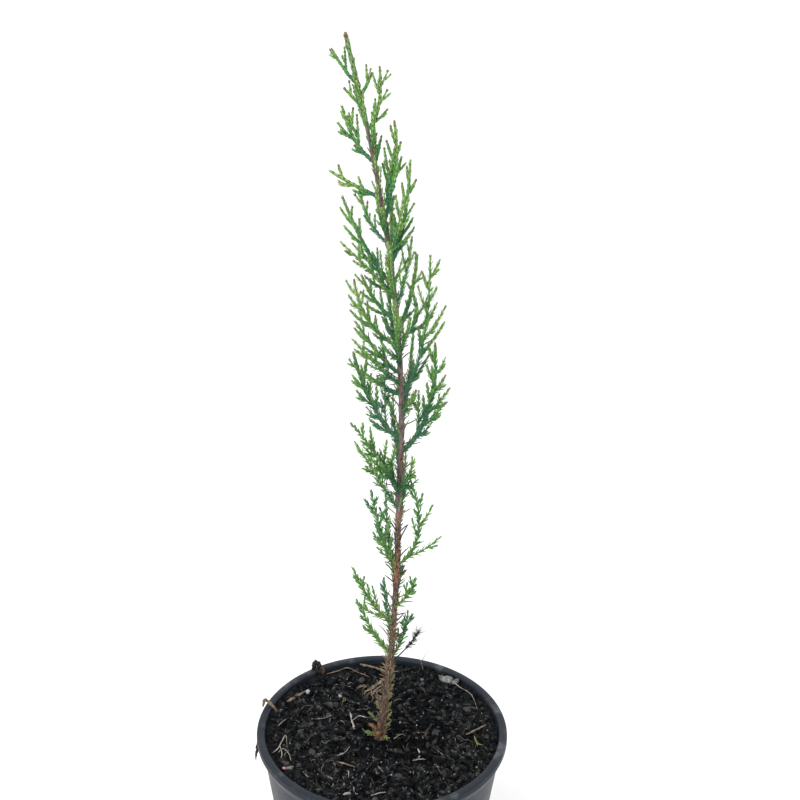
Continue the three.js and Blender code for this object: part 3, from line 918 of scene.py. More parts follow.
def ragged_limbs(rows, ragged):
    """Limbs through rows of a radius and knots, that taper. Line and girth are uneven by ragged."""
    lines = np.stack([through(knots, along_stick) for _, knots in rows])
    thick = np.array([radius for radius, _ in rows])[:, None]
    row, step = np.mgrid[: len(rows), :STICK_STEPS]
    crook = np.stack([chance(row + 9, 3 * step + k) - 0.5 for k in range(3)], axis=-1)
    uneven = 1 + ragged * (2 * chance(row + 5, step) - 1)
    shoulders = np.minimum(along_stick, 1 - along_stick) / STICK_SHOULDER
    taper = np.minimum(1, STICK_END + shoulders) * (1 - STICK_TAPER * along_stick)
    return limbs_along(lines + 2 * ragged * thick[..., None] * crook, thick * uneven * taper, STICK_SIDES)


def sticks(rows, ragged):
    """Ragged limbs whose knots are x, y and the lift above the mix there."""
    lifted = []
    for radius, knots in rows:
        x, y, lift = np.array(knots).T
        lifted.append((radius, np.column_stack([x, y, fill_level(x, y) + STICK_LIFT + lift])))
    return ragged_limbs(lifted, ragged)


print("a stick has", STICK_STEPS, "rings of", STICK_SIDES, "points")

# %% [markdown]
# The larger sticks and roots lie where the picture has them. Each is a row of a radius and a few
# knots: across, away, and how far above the mix. The limb is drawn smoothly through its knots.

# %% The sticks and roots that the picture shows
TAN_STICKS = [
    (0.8, [(-14.4, 57.2, 2.2), (-7.3, 56.6, 1.6), (2.1, 54.1, 0.8)]),
    (1.0, [(-52.8, 22.0, 0.0), (-48.7, 27.2, 0.4), (-44.0, 32.9, 0.8)]),
    (1.0, [(-64.4, 11.0, 3.0), (-63.6, 14.4, 5.1), (-60.2, 13.8, 2.8),
           (-57.0, 12.6, 0.2), (-55.2, 10.8, 0.0)]),
    (0.5, [(43.9, 0.5, 0.4), (49.5, 2.6, 1.4), (55.0, 3.9, 2.6)]),
    (0.36, [(-33.6, 48.3, 0.6), (-26.9, 51.2, 1.6), (-21.2, 54.0, 2.0),
            (-15.3, 52.4, 1.2), (-8.3, 50.5, 0.6)]),
    (0.42, [(-21.7, -22.0, 0.4), (-17.6, -24.0, 0.9), (-12.5, -25.9, 0.5)]),
    (0.45, [(18.7, 3.3, 0.4), (20.4, 0.1, 0.9), (21.7, -2.7, 0.5)]),
]
DARK_STICKS = [
    (1.8, [(-34.6, 48.8, 0.0), (-36.9, 49.8, 3.4), (-39.3, 50.2, 6.9)]),
    (1.7, [(-39.2, 50.2, 6.7), (-40.2, 49.8, 4.8), (-41.2, 48.8, 2.2)]),
    (1.9, [(-41.4, 46.6, 0.0), (-39.4, 48.0, 1.4), (-36.8, 47.6, 0.2)]),
    (0.75, [(-63.0, -11.6, 1.6), (-63.8, -12.8, -3.8), (-64.6, -13.8, -9.8)]),
    (0.85, [(21.8, -1.3, 0.4), (24.1, 2.3, 2.2), (26.5, 5.7, 4.0)]),
    (0.8, [(-35.4, 0.6, 0.5), (-37.8, -4.4, 1.0), (-39.3, -9.0, 0.6)]),
    (0.6, [(19.9, 41.7, 1.0), (22.9, 38.0, 1.6), (23.9, 33.3, 0.6)]),
]
PALE_ROOTS = [
    (0.24, [(38.6, 42.2, 1.8), (43.1, 36.6, 1.6), (47.9, 31.8, 1.2), (50.2, 26.6, 0.9), (51.4, 20.1, 0.5)]),
    (0.15, [(22.4, 53.0, 1.2), (21.6, 54.8, 4.2), (19.6, 56.6, 7.6)]),
    (0.40, [(18.4, -12.2, 1.8), (19.6, -16.0, 1.0), (18.0, -19.6, 0.5)]),
    (0.34, [(15.7, -20.1, 0.5), (19.0, -20.0, 1.2), (22.6, -19.2, 0.6)]),
    (0.32, [(-23.5, -17.4, 0.4), (-19.1, -15.7, 1.0), (-16.4, -9.2, 0.6)]),
    (0.22, [(-36.5, 12.1, 0.6), (-31.7, 12.3, 1.2), (-26.6, 16.8, 0.6)]),
    (0.24, [(-55.0, 1.9, 0.6), (-53.3, 5.0, 1.4), (-51.2, 9.1, 1.0)]),
    (0.28, [(-55.2, -20.8, 0.8), (-52.5, -16.8, 1.6), (-50.8, -9.9, 3.0),
            (-49.6, -7.3, 3.2), (-48.3, -13.7, 1.4)]),
    (0.24, [(-50.2, -26.3, 0.4), (-50.1, -20.0, 1.4), (-51.7, -15.2, 2.4), (-51.2, -11.4, 2.8)]),
    (0.24, [(-45.2, -23.2, 0.4), (-46.6, -19.4, 1.6), (-49.9, -16.9, 2.2), (-52.1, -19.5, 1.2)]),
    (0.22, [(-38.6, -30.6, 0.5), (-36.5, -33.9, 1.0), (-34.8, -35.5, 0.5)]),
    (0.30, [(-13.6, -38.5, 0.5), (-12.6, -42.7, 1.2), (-12.5, -46.7, 0.5)]),
    (0.80, [(-17.6, -46.5, 0.5), (-14.3, -46.0, 0.8), (-10.5, -45.6, 0.5)]),
    (0.30, [(-6.1, -47.9, 0.5), (-1.0, -45.4, 1.1), (3.0, -43.4, 0.4)]),
    (0.24, [(-16.5, -28.0, 0.4), (-15.8, -30.8, 1.0), (-15.8, -33.6, 0.5)]),
    (0.20, [(25.5, -7.7, 0.5), (28.4, -12.3, 1.0), (31.6, -15.7, 0.4)]),
    (0.20, [(6.2, -1.9, 0.4), (8.3, -0.5, 1.2), (10.4, 1.7, 0.8)]),
    (0.55, [(-14.2, 3.0, 0.3), (-16.2, 8.8, 2.0), (-17.9, 14.2, 4.4)]),
    (0.40, [(-16.2, 9.7, 2.2), (-12.8, 13.0, 2.8), (-8.4, 13.4, 1.6)]),
    (0.10, [(-63.6, 14.6, 4.2), (-66.8, 14.2, 4.8), (-69.0, 12.4, 3.4), (-69.2, 10.4, 0.0)]),
]
YELLOW_SPRIG = [
    (0.30, [(-22.6, 27.6, 0.3), (-22.2, 29.0, 1.2), (-22.4, 30.6, 1.6)]),
    (0.26, [(-21.6, 28.4, 0.4), (-21.2, 29.8, 1.0), (-21.8, 31.2, 1.2)]),
    (0.42, [(47.9, -4.0, 2.8), (48.9, -7.2, 1.4), (49.6, -9.5, 0.4)]),
    (0.36, [(49.0, -7.5, 1.2), (50.6, -9.7, 1.4), (52.3, -9.3, 0.6)]),
]
dry_wood = earthy("dry_wood", (0.12, 0.088, 0.060), (0.34, 0.275, 0.205), (0.06, 0.04, 0.03), 0.85, 0.15)
dark_wood = earthy("dark_wood", (0.020, 0.016, 0.014), (0.088, 0.068, 0.056), (0.17, 0.15, 0.13), 0.9, 0.12)
pale_root = earthy("pale_root", (0.21, 0.190, 0.165), (0.60, 0.57, 0.52), (0.12, 0.10, 0.08), 0.85, 0.15)
yellow_sprig = earthy("yellow_sprig", (0.15, 0.15, 0.055), (0.32, 0.31, 0.13), (0.13, 0.09, 0.05), 0.7, 0.25)
add_piece("tan_sticks", *sticks(TAN_STICKS, 0.22), dry_wood, "potting_mix")
add_piece("dark_sticks", *sticks(DARK_STICKS, 0.3), dark_wood, "potting_mix")
add_piece("pale_roots", *sticks(PALE_ROOTS, 0.3), pale_root, "potting_mix")
add_piece("yellow_sprig", *sticks(YELLOW_SPRIG, 0.3), yellow_sprig, "potting_mix")

# %% [markdown]
# Finer root hairs are everywhere, and none has a place worth keeping. Each starts somewhere on the
# mix and wanders: its direction is a sum of a steady turn and a slow wave, and adding up the steps
# gives its line.

# %% Fine root hairs
HAIR_COUNT, HAIR_STEPS, HAIR_SIDES = 320, 12, 4
HAIR_TURN, HAIR_WAVE, HAIR_WAVE_STEP, HAIR_PHASES = 0.14, 0.25, 0.8, 6
HAIR_LENGTHS, HAIR_RISES, HAIR_RADII = (2, 8), (0.3, 1.6), (0.06, 0.16)
HAIR_LIFT, HAIR_SPREAD, HAIR_TAPER = 0.4, 0.9, 0.5
PALE_SHARE, GREY_GIRTH = 0.3, 1.4
LOOSE_THREAD = [(0.2, [(19.4, 49.4, 0.2), (20.8, 50.0, 7.6), (22.4, 50.5, 11.8), (25.2, 51.0, 16.0)])]

step = np.arange(HAIR_STEPS)
reach, way, bend, phase, rise, girth, pale = (
    chance(np.arange(HAIR_COUNT)[:, None], seed) for seed in (91, 92, 93, 94, 96, 97, 98))
heading = 2 * np.pi * way + (bend - 0.5) * HAIR_TURN * step
heading = heading + HAIR_WAVE * np.sin(HAIR_WAVE_STEP * step + HAIR_PHASES * phase)
stride = part_way(*HAIR_LENGTHS, reach**2) / HAIR_STEPS
hair_lines = np.cumsum(level_way(heading) * stride[..., None], axis=1)
hair_lines = hair_lines + HAIR_SPREAD * spread_places(HAIR_COUNT, 95)[:, None]
hair_lift = part_way(*HAIR_RISES, rise) * np.sin(np.pi * step / (HAIR_STEPS - 1))
hair_lines[..., 2] = fill_level(hair_lines[..., 0], hair_lines[..., 1]) + HAIR_LIFT + hair_lift
hair_radii = part_way(*HAIR_RADII, girth**2) * (1 - HAIR_TAPER * step / HAIR_STEPS)
is_pale = pale[:, 0] < PALE_SHARE
pale_hairs = limbs_along(hair_lines[is_pale], hair_radii[is_pale], HAIR_SIDES)
grey_hairs = limbs_along(hair_lines[~is_pale], GREY_GIRTH * hair_radii[~is_pale], HAIR_SIDES)
grey_fibre = earthy("grey_fibre", (0.035, 0.032, 0.028), (0.150, 0.140, 0.125), (0.02, 0.02, 0.02))
add_piece("loose_thread", *sticks(LOOSE_THREAD, 0.2), grey_fibre, "potting_mix")
add_piece("pale_hairs", *pale_hairs, pale_root, "potting_mix")
add_piece("grey_hairs", *grey_hairs, grey_fibre, "potting_mix")

# %% [markdown]
# ## The trunk
# The trunk leans and sways on its way up and thins from a flared foot to a tip like a pencil lead.
# Its bark has upright cracks and small cushions where leaves sat. The surface is a grid of height
# by angle: the line gives the middle, the taper gives the radius, and the relief is added to it.

# %% Shape of the trunk
TRUNK_FOOT = 103.3
TRUNK_HEIGHT = 346.0
TRUNK_SWAY_X = [-1.4, 3.5, 6.0, 6.7, 7.5, 5.3, 0.0, -8.4, -19]
TRUNK_SWAY_Y = [0, 1.2, 1.6, 1.0, 0, -1.0, -1.4, -0.8, 0.5]
TRUNK_RADIUS = 1.45
TRUNK_TIP_RADIUS = 0.6
FLARE_RADIUS = 1.5
FLARE_HEIGHT = 26.0

knot_heights = TRUNK_FOOT + TRUNK_HEIGHT * np.linspace(0, 1, len(TRUNK_SWAY_X))
trunk_knots = np.column_stack([TRUNK_SWAY_X, TRUNK_SWAY_Y, knot_heights])


def trunk_line(share):
    """The middle of the trunk at a share of its height."""
    return through(trunk_knots, share)


def trunk_radius(share):
    """A taper of the power 4 towards the tip, and a flare that dies away up the foot."""
    taper = (TRUNK_RADIUS - TRUNK_TIP_RADIUS) * (1 - share**4)
    return TRUNK_TIP_RADIUS + taper + FLARE_RADIUS * np.exp(-share * TRUNK_HEIGHT / FLARE_HEIGHT)


print("trunk leans", TRUNK_SWAY_X[-1] - TRUNK_SWAY_X[0], "mm over", TRUNK_HEIGHT, "mm")

# %% [markdown]
# The relief of the bark is a sum of simple parts: narrow cracks where a noise passes through zero,
# flakes and grain from finer noise, a ridge that runs down from each needle, and ribs at the foot.

# %% Relief of the bark
NEEDLE_START, NEEDLE_SPACING, NEEDLE_TURN = 58.0, 4.6, np.pi / 2 + 0.31
BARK_WIDTH, BARK_RISE = 1.7, 3.4
CRACK_DEPTH, FLAKE_DEPTH, GRAIN_DEPTH = 0.32, 0.20, 0.11
CRACK_NARROWS, FLAKE_SCALE, GRAIN_SCALE = 4, (2.6, 2.6, 2.0), (5.5, 5.5, 3.2)
RIDGE_HEIGHT, RIDGE_FOOT, RIDGE_NARROWS, RIDGE_FADE = 0.38, 0.08, 4, 1.5
RIB_COUNT, RIB_TURNED_BY, RIB_HEIGHT, RIB_FADE = 3, 0.6, 0.5, 11.0


def smooth_step(low, high, value):
    """0 up to low and 1 from high on, with the cubic 3 t^2 - 2 t^3 between."""
    t = np.clip((value - low) / (high - low), 0, 1)
    return t * t * (3 - 2 * t)


def bark_relief(height, angle):
    """Upright cracks, flakes and grain, a ridge below each needle of a pair, and ribs in the flare."""
    around = BARK_WIDTH * level_way(angle) + (height / BARK_RISE)[..., None] * UP
    cracks = -CRACK_DEPTH * np.clip(1 - CRACK_NARROWS * np.abs(lumps(around, 13)), 0, 1)
    flakes = FLAKE_DEPTH * lumps(around * FLAKE_SCALE, 17)
    grain = GRAIN_DEPTH * lumps(around * GRAIN_SCALE, 19)
    pair = np.ceil((height - NEEDLE_START) / NEEDLE_SPACING)
    below = pair - (height - NEEDLE_START) / NEEDLE_SPACING
    ridges = np.clip(np.cos(2 * (angle - pair * NEEDLE_TURN)), 0, 1) ** RIDGE_NARROWS
    ridges = RIDGE_HEIGHT * ridges * (1 - below) ** RIDGE_FADE * smooth_step(0, RIDGE_FOOT, below)
    ribs = RIB_HEIGHT * np.cos(RIB_COUNT * angle + RIB_TURNED_BY) * np.exp(-height / RIB_FADE)
    return cracks + flakes + grain + ridges + ribs


print("the cracks of the bark are up to", CRACK_DEPTH, "mm deep")

# %% [markdown]
# At each height and angle the radius is the taper's, drawn in at the tip, with the relief added,
# which grows smoother towards the tip. One point closes the foot, inside the mix, and one the tip.

# %% Surface of the trunk
TRUNK_ROWS, TRUNK_COLUMNS, BURIED = 900, 56, 3.0
SMOOTHER_BARK, SMOOTHING = (0.45, 0.95), 0.75
CORE_OF_TRUNK, TIP_START, TIP_LOSS = 0.93, 0.98, 0.5
TIP_GAP, TIP_POINT = 1.5, 0.5

rows = np.linspace(-BURIED, TRUNK_HEIGHT - TIP_GAP, TRUNK_ROWS)
height, angle = np.meshgrid(rows, turns(TRUNK_COLUMNS), indexing="ij")
share = np.clip(height / TRUNK_HEIGHT, 0, 1)
core = trunk_radius(share) * (CORE_OF_TRUNK - TIP_LOSS * smooth_step(TIP_START, 1, share))
radius = core + (1 - SMOOTHING * smooth_step(*SMOOTHER_BARK, share)) * bark_relief(height, angle)
middle = trunk_line(share)
middle[..., 2] = TRUNK_FOOT + height
rings = middle + radius[..., None] * level_way(angle)
trunk_points = np.vstack([rings.reshape(-1, 3), middle[0, :1], middle[-1, :1] + TIP_POINT * UP])
trunk_faces = tube_faces(TRUNK_ROWS, TRUNK_COLUMNS)
print("trunk is", round(2 * float(radius.min()), 2), "to", round(2 * float(radius.max()), 2), "mm thick")

# %% [markdown]
# The bark is dark at the foot, grey-brown above it, red-brown where young bark peels, then
# purple-brown, and green in the soft leader. A ramp on the height gives that order; upright fibres
# and blotches break it up, and the cracks are darker.

# %% Finish of the bark, and the trunk
BARK_STOPS = [
    (0.000, (0.080, 0.050, 0.038)),
    (0.060, (0.135, 0.070, 0.052)),
    (0.160, (0.110, 0.080, 0.058)),
    (0.255, (0.100, 0.076, 0.054)),
    (0.276, (0.280, 0.108, 0.052)),
    (0.298, (0.260, 0.105, 0.052)),
    (0.315, (0.102, 0.072, 0.054)),
    (0.345, (0.112, 0.080, 0.066)),
    (0.358, (0.280, 0.142, 0.116)),
    (0.374, (0.240, 0.128, 0.110)),
    (0.392, (0.186, 0.136, 0.122)),
    (0.600, (0.176, 0.134, 0.124)),
    (0.800, (0.160, 0.105, 0.105)),
    (0.874, (0.165, 0.105, 0.105)),
    (0.896, (0.110, 0.150, 0.070)),
]
BARK_DARK = (0.026, 0.019, 0.015)
BARK_PALE = (0.300, 0.255, 0.205)
BARK_RED = (0.230, 0.098, 0.076)
BARK_GREY = (0.170, 0.160, 0.138)

young_bark, place = new_finish("young_bark")
patch = drawn_out(place, (420, 420, 110))
fibres = drawn_out(place, (2300, 2300, 300), 3.0, 0.6)
blotches = drawn_out(place, (700, 700, 420), 3.0, 0.6)
climb = (height_of(place) - TRUNK_FOOT * MM) * (1 / (TRUNK_HEIGHT * MM))
climb = climb + 0.05 * patch - 0.025
colour = climb.node("ShaderNodeValToRGB", {"stops": BARK_STOPS}, {"Fac": climb}, "Color")
# Each change of tone: the noise, where it starts and where it is full, its strength and its colour.
BARK_CHANGES = [
    (patch, 0.56, 0.66, 0.5, BARK_RED),
    (patch, 0.45, 0.36, 0.5, BARK_GREY),
    (fibres, 0.53, 0.32, 0.8, BARK_DARK),
    (blotches, 0.52, 0.68, 0.55, BARK_PALE),
    (blotches, 0.46, 0.34, 0.6, BARK_DARK),
]
for noise, low, high, strength, tone in BARK_CHANGES:
    colour = mixed(strength * between(noise, low, high), colour, tone)
surface(colour, 0.72 + 0.2 * patch, 0.25, fibres + blotches, 0.00022)
add_piece("trunk_bark", trunk_points, trunk_faces, young_bark, "bark", ["trunk"])

# %% [markdown]
# ## How the shoots grow
# Each side shoot leaves the trunk at a height and bearing, bows out and turns up. Twigs leave its
# stem on alternate sides, and shorter sprays leave the twigs, at seeded places. A twig whose room
# is taken by another limb is left out, which keeps the sky between the shoots. These are the
# solids' own rules and numbers, so every bough here grows where its solid stands.

# %% The shoots
# Each row: height on the trunk, bearing in degrees (0 right, 90 back), reach, rise and bow.
GREEN_SHOOTS = [
    (47, 20, 9, 25, 8), (49, 170, 18, 29, 9), (58, 108, 16, 26, 11), (67, 195, 21, 33, 13),
    (76, 340, 11, 18, 7), (86, 60, 7, 9, 4), (91, 148, 7, 44, 5), (98, 202, 14, 43, 8),
    (99, 350, 6, 46, 18), (118, 80, 19, 34, 13), (129, 185, 21, 35, 6), (136, 225, 31, 44, 3),
    (139, 305, 12, 20, 7), (147, 102, 20, 36, 14), (159, 5, 15, 53, 18), (164, 175, 23, 43, 15),
    (174, 75, 19, 40, 14), (180, 300, 13, 13, 8), (186, 0, 12, 67, 13), (188, 200, 17, 11, 8),
    (193, 215, 26, 24, 11), (198, 188, 21, 25, 10), (202, 262, 18, 34, 12), (205, 108, 20, 34, 14),
    (209, 290, 14, 18, 9), (211, 195, 21, 31, 18), (214, 20, 4, 26, 15), (219, 60, 17, 32, 13),
    (223, 165, 17, 20, 11), (230, 10, 7, 31, 5), (232, 258, 16, 28, 10), (235, 215, 28, 25, 8),
    (239, 180, 23, 39, 12), (243, 95, 17, 34, 13), (249, 350, 8, 45, 7), (253, 302, 11, 27, 8),
    (258, 170, 13, 23, 10), (262, 245, 11, 19, 7), (268, 75, 14, 28, 11), (274, 15, 5, 36, 9),
    (278, 190, 22, 11, 9), (286, 100, 12, 24, 9), (293, 175, 14, 23, 10), (299, 280, 9, 18, 6),
    (306, 350, 5, 26, 7), (316, 200, 8, 7, 3), (320, 10, 5, 9, 2), (325, 175, 11, 14, 5),
]
DEAD_SHOOTS = [(27, 190, 12, 5, 6), (44, 34, 19, 14, 11)]
SHOOTS = GREEN_SHOOTS + DEAD_SHOOTS
print(len(GREEN_SHOOTS), "green shoots and", len(DEAD_SHOOTS), "dead ones")

# %% [markdown]
# A stem is a curve of three points: root, elbow and tip. Its root is on the trunk's own line, so no
# gap can open between the two, and its elbow bows it out before it turns up to the light.

# %% Curves of the stems
STEM_RADIUS, STEM_OF_TRUNK, STEM_TAPER, STEM_ELBOW = 0.95, 0.9, 0.45, 0.3


def bowed(line, share):
    """A point of the curve (1-t)^2 root + 2t(1-t) elbow + t^2 tip."""
    t = np.asarray(share, float)[..., None]
    root, elbow, tip = line
    return (1 - t) ** 2 * root + 2 * t * (1 - t) * elbow + t**2 * tip


def bowed_heading(line, share):
    """The curve's direction: its slope 2(1-t)(elbow-root) + 2t(tip-elbow), made one long."""
    t = np.asarray(share, float)[..., None]
    root, elbow, tip = line
    return unit((1 - t) * (elbow - root) + t * (tip - elbow))


def outward_of(shoot):
    """The level direction of a shoot's bearing."""
    return level_way(math.radians(shoot[1]))


def stem_line(shoot):
    """A stem's root on the trunk, its elbow bowed out of the straight way, and its tip."""
    height, _, reach, rise, bow = shoot
    root = trunk_line(height / TRUNK_HEIGHT)
    outward = outward_of(shoot)
    return root, root + bow * outward + STEM_ELBOW * rise * UP, root + reach * outward + rise * UP


def stem_radius(shoot, share):
    """Never thicker than most of the trunk at its root, and thinner towards the tip."""
    root = min(STEM_RADIUS, STEM_OF_TRUNK * float(trunk_radius(np.array(shoot[0] / TRUNK_HEIGHT))))
    return root * (1 - STEM_TAPER * share)


print("the widest shoot reaches", max(shoot[2] for shoot in SHOOTS), "mm out")

# %% [markdown]
# A rule says how far apart the branches on a limb stand, at which angle they leave it, how long
# they grow and how much their tips are lifted. Twigs and sprays follow one rule with two sets of
# numbers.

# %% The rule of growth
PLACE_JITTER, ROOT_OFFSET = 0.4, 0.2
TWIG = dict(step=5.2, first=0.16, last=0.92, angle=0.6, spread=1.9,
            grow=0.24, shortest=3.6, least=0.6, vary=0.8, lift=0.35)
SPRAY = dict(step=5.4, first=0.25, last=0.72, angle=0.6, spread=1.7,
             grow=0.3, shortest=2.2, least=0.8, vary=0.5, lift=0.25)


def sprouts(rule, count, span, owner, seed):
    """Share along the carrier, roll about it and length of each branch, on alternate sides."""
    i = np.arange(count)
    place, roll, size = (chance(owner, seed + 10 * i + k) for k in (1, 2, 3))
    share = rule["first"] + (rule["last"] - rule["first"]) * (i + PLACE_JITTER * place) / max(count, 1)
    length = (rule["grow"] * span * (1 - share) + rule["shortest"]) * (rule["least"] + rule["vary"] * size)
    return zip(share, i * np.pi + rule["spread"] * (roll - 0.5), length)


def branch(line, share, radius, outward, roll, length, rule):
    """A branch at an angle to its carrier, turned about it by the roll, its tip lifted."""
    heading = bowed_heading(line, share)
    across = squared(outward, heading)
    side = swung(across, np.cross(heading, across), roll)
    heading = swung(heading, side, rule["angle"])
    root = bowed(line, share) + heading * ROOT_OFFSET * radius
    tip = root + heading * length + UP * rule["lift"] * length
    return root, root + 0.5 * length * heading, tip


print("twigs leave their stem at", round(math.degrees(TWIG["angle"])), "degrees")

# %% [markdown]
# Before a twig or a spray is kept, it is walked in small steps, and each step is a bead with a
# radius. It is free if no bead of another shoot or of the trunk is too near, and its own beads are
# then kept too. Trunk and stems come first, so no twig can take their room.

# %% Beads that keep a limb's room
BEAD_STEP, BEAD_ROOM, TRUNK_OWNER = 0.8, 0.55, -1
beads = {"at": [], "radius": [], "owner": []}


def reserve(at, radius, owner):
    """Keeps the room of one limb's beads."""
    beads["at"].append(at)
    beads["radius"].append(np.broadcast_to(radius, len(at)))
    beads["owner"].append(np.full(len(at), owner))


def straight_beads(line, length):
    """Points a bead's step apart on the straight way from root to tip."""
    count = math.ceil(length / BEAD_STEP)
    return line[0] + (line[2] - line[0]) * (np.arange(count + 1) / count)[:, None]


def is_free(at, radius, owner):
    """True where no bead of another limb comes within the two radii and a margin."""
    others = np.concatenate(beads["owner"]) != owner
    gaps = np.linalg.norm(np.concatenate(beads["at"])[others] - at[:, None], axis=-1)
    return bool(np.all(gaps > radius + np.concatenate(beads["radius"])[others] + BEAD_ROOM))


def grown(line, length, radius, owner):
    """Keeps a branch's room if it is free, and says so."""
    at = straight_beads(line, length)
    free = is_free(at, radius, owner)
    if free:
        reserve(at, radius, owner)
    return free


trunk_beads = int(TRUNK_HEIGHT / BEAD_STEP)
trunk_share = np.arange(trunk_beads + 1) / trunk_beads
reserve(trunk_line(trunk_share), trunk_radius(trunk_share), TRUNK_OWNER)
for owner, shoot in enumerate(SHOOTS):
    count = math.ceil(math.hypot(shoot[2], shoot[3]) / BEAD_STEP)
    reserve(bowed(stem_line(shoot), np.arange(count + 1) / count), STEM_RADIUS, owner)
print(sum(len(at) for at in beads["at"]), "beads on trunk and stems")

# %% [markdown]
# Now the shoots can grow one after the other. Each limb is kept as its kind, its shoot, its curve,
# its length, and the age of its leaves at root and tip, from 0, old blue-green leaves by the trunk,
# to 1, this year's yellow-green tips.

# %% Grow stems, twigs and sprays
FEWEST_TWIGS = 2
TWIG_RADIUS, TWIG_OF_STEM, TWIG_SHOULDER, TWIG_TAPER, LEAF_OF_TWIG = 0.6, 0.75, 0.8, 0.7, 0.6
STEM_TIP_AGE, TWIG_ROOT_AGE, TWIG_AGE_GAIN, SPRAY_AGE_GAIN = 0.75, 0.62, 0.36, 0.22
SPRAY_SEED, SPRAY_SEED_STEP = 1000, 100
# Twigs, by the number of their shoot, that would stand where the picture shows sky.
TWIGS_LEFT_OUT = {
    0: (2,), 1: (1, 3), 2: (1, 2, 3), 3: (2, 4), 8: (1, 2), 16: (5, 6, 7), 18: (1, 3), 24: (0, 2),
}
limbs = []
for owner, shoot in enumerate(SHOOTS):
    span = math.hypot(shoot[2], shoot[3])
    stem, outward = stem_line(shoot), outward_of(shoot)
    limbs.append(("stem", owner, stem, span, 0.0, STEM_TIP_AGE))
    twig_count = max(FEWEST_TWIGS, int(span / TWIG["step"]))
    for k, (share, roll, length) in enumerate(sprouts(TWIG, twig_count, span, owner, 0)):
        carrier = stem_radius(shoot, share)
        radius = min(TWIG_RADIUS, TWIG_OF_STEM * carrier)
        twig = branch(stem, share, carrier, outward, roll, length, TWIG)
        if not grown(twig, length, radius, owner):
            continue
        age = TWIG_ROOT_AGE * share
        first = len(limbs)
        limbs.append(("twig", owner, twig, length, age, age + TWIG_AGE_GAIN))
        straight = (twig[0], (twig[0] + twig[2]) / 2, twig[2])
        spray_count, seed = int(length / SPRAY["step"]), SPRAY_SEED + SPRAY_SEED_STEP * k
        for place, turn, size in sprouts(SPRAY, spray_count, length, owner, seed):
            carried = radius * (1 - (1 - TWIG_TAPER) * place / TWIG_SHOULDER)
            spray = branch(straight, place, carried, outward, turn, size, SPRAY)
            if grown(spray, size, LEAF_OF_TWIG * carried, owner):
                spray = branch(twig, place, carried, outward, turn, size, SPRAY)
                root_age = age + TWIG_AGE_GAIN * place
                limbs.append(("spray", owner, spray, size, root_age, root_age + SPRAY_AGE_GAIN))
        if k in TWIGS_LEFT_OUT.get(owner, ()):
            del limbs[first:]
kinds = [limb[0] for limb in limbs]
print({kind: kinds.count(kind) for kind in ("stem", "twig", "spray")})

# %% [markdown]
# The solids stop at the larger sprays. On the real plant the longer twigs carry a few more fingers,
# short sprigs stand along the stems, and some lie close to the leader. The same rule with its own
# numbers adds them, inside the same reach. A sprig that would touch the trunk is left out, and so
# are some sprays where the crown is open.

# %% Rules of the finer sprays
FINE_SPRAY = dict(SPRAY, step=7.0, first=0.20, last=0.80, shortest=1.9)
SPRIG = dict(step=14.0, first=0.10, last=0.95, angle=0.55, spread=5.0,
             grow=0.03, shortest=2.4, least=0.7, vary=0.7, lift=0.3)
FINGER = dict(step=9.0, first=0.15, last=0.92, angle=0.75, spread=2.4,
              grow=0.02, shortest=1.9, least=0.8, vary=0.7, lift=0.25)
LOWEST_FINE = 110
BUSHY_RISE = 25
OPEN_CROWN = (185, 262)
LEFT_OUT, LOW_LEFT_OUT = 0.7, 0.8


def is_bushy(owner):
    """The short shoots low on the plant stand full of sprigs."""
    return SHOOTS[owner][0] < LOWEST_FINE and SHOOTS[owner][3] <= BUSHY_RISE


def share_left_out(owner):
    """The long low shoots and those in the middle of the crown are more open than the rest."""
    height, _, _, rise, _ = SHOOTS[owner]
    if height < LOWEST_FINE and rise > BUSHY_RISE:
        return LOW_LEFT_OUT
    return LEFT_OUT if OPEN_CROWN[0] < height < OPEN_CROWN[1] else 0.0


def fine_rule(kind, owner):
    """Fingers where the crown is open, sprays and sprigs elsewhere, none on the long low shoots."""
    left_out = share_left_out(owner)
    if kind == "spray" or owner >= len(GREEN_SHOOTS) or left_out == LOW_LEFT_OUT:
        return None
    if left_out > 0:
        return FINGER
    return FINE_SPRAY if kind == "twig" else SPRIG


print("open part of the crown from", *OPEN_CROWN, "mm up the trunk")

# %% [markdown]
# Each limb grown so far is gone through once more. A share of the sprays in the open parts is
# taken out first, and the finer ones are then grown on what is left, so none hangs in the air.

# %% Carry the rule on to finer sprays
TRUNK_CLEARANCE = 0.9
BUSHY_STEP = 0.4
LEFT_OUT_SEED = 61
FINE_CARRIER, FINE_SEED, FINE_SEED_STEP = 0.3, 5000, 300


def touches_trunk(point):
    """True where a point is nearer to the trunk's line than its radius and a clearance."""
    share = np.clip((point[2] - TRUNK_FOOT) / TRUNK_HEIGHT, 0, 1)
    gap = np.linalg.norm(point[:2] - trunk_line(share)[:2])
    return gap < trunk_radius(share) + TRUNK_CLEARANCE


limbs = [limb for number, limb in enumerate(limbs)
         if limb[0] != "spray" or chance(number, LEFT_OUT_SEED) >= share_left_out(limb[1])]
for number, (kind, owner, line, length, age, tip_age) in enumerate(list(limbs)):
    rule = fine_rule(kind, owner)
    if rule is None:
        continue
    step = rule["step"] * (BUSHY_STEP if is_bushy(owner) else 1)
    seed = FINE_SEED + FINE_SEED_STEP * number
    for place, roll, size in sprouts(rule, int(length / step), length, owner, seed):
        fine = branch(line, place, FINE_CARRIER, outward_of(SHOOTS[owner]), roll, size, rule)
        root_age = part_way(age, tip_age, place)
        if not touches_trunk(fine[2]):
            limbs.append(("fine", owner, fine, size, root_age, root_age + SPRAY_AGE_GAIN))
print(len(limbs), "limbs with the finer sprays")

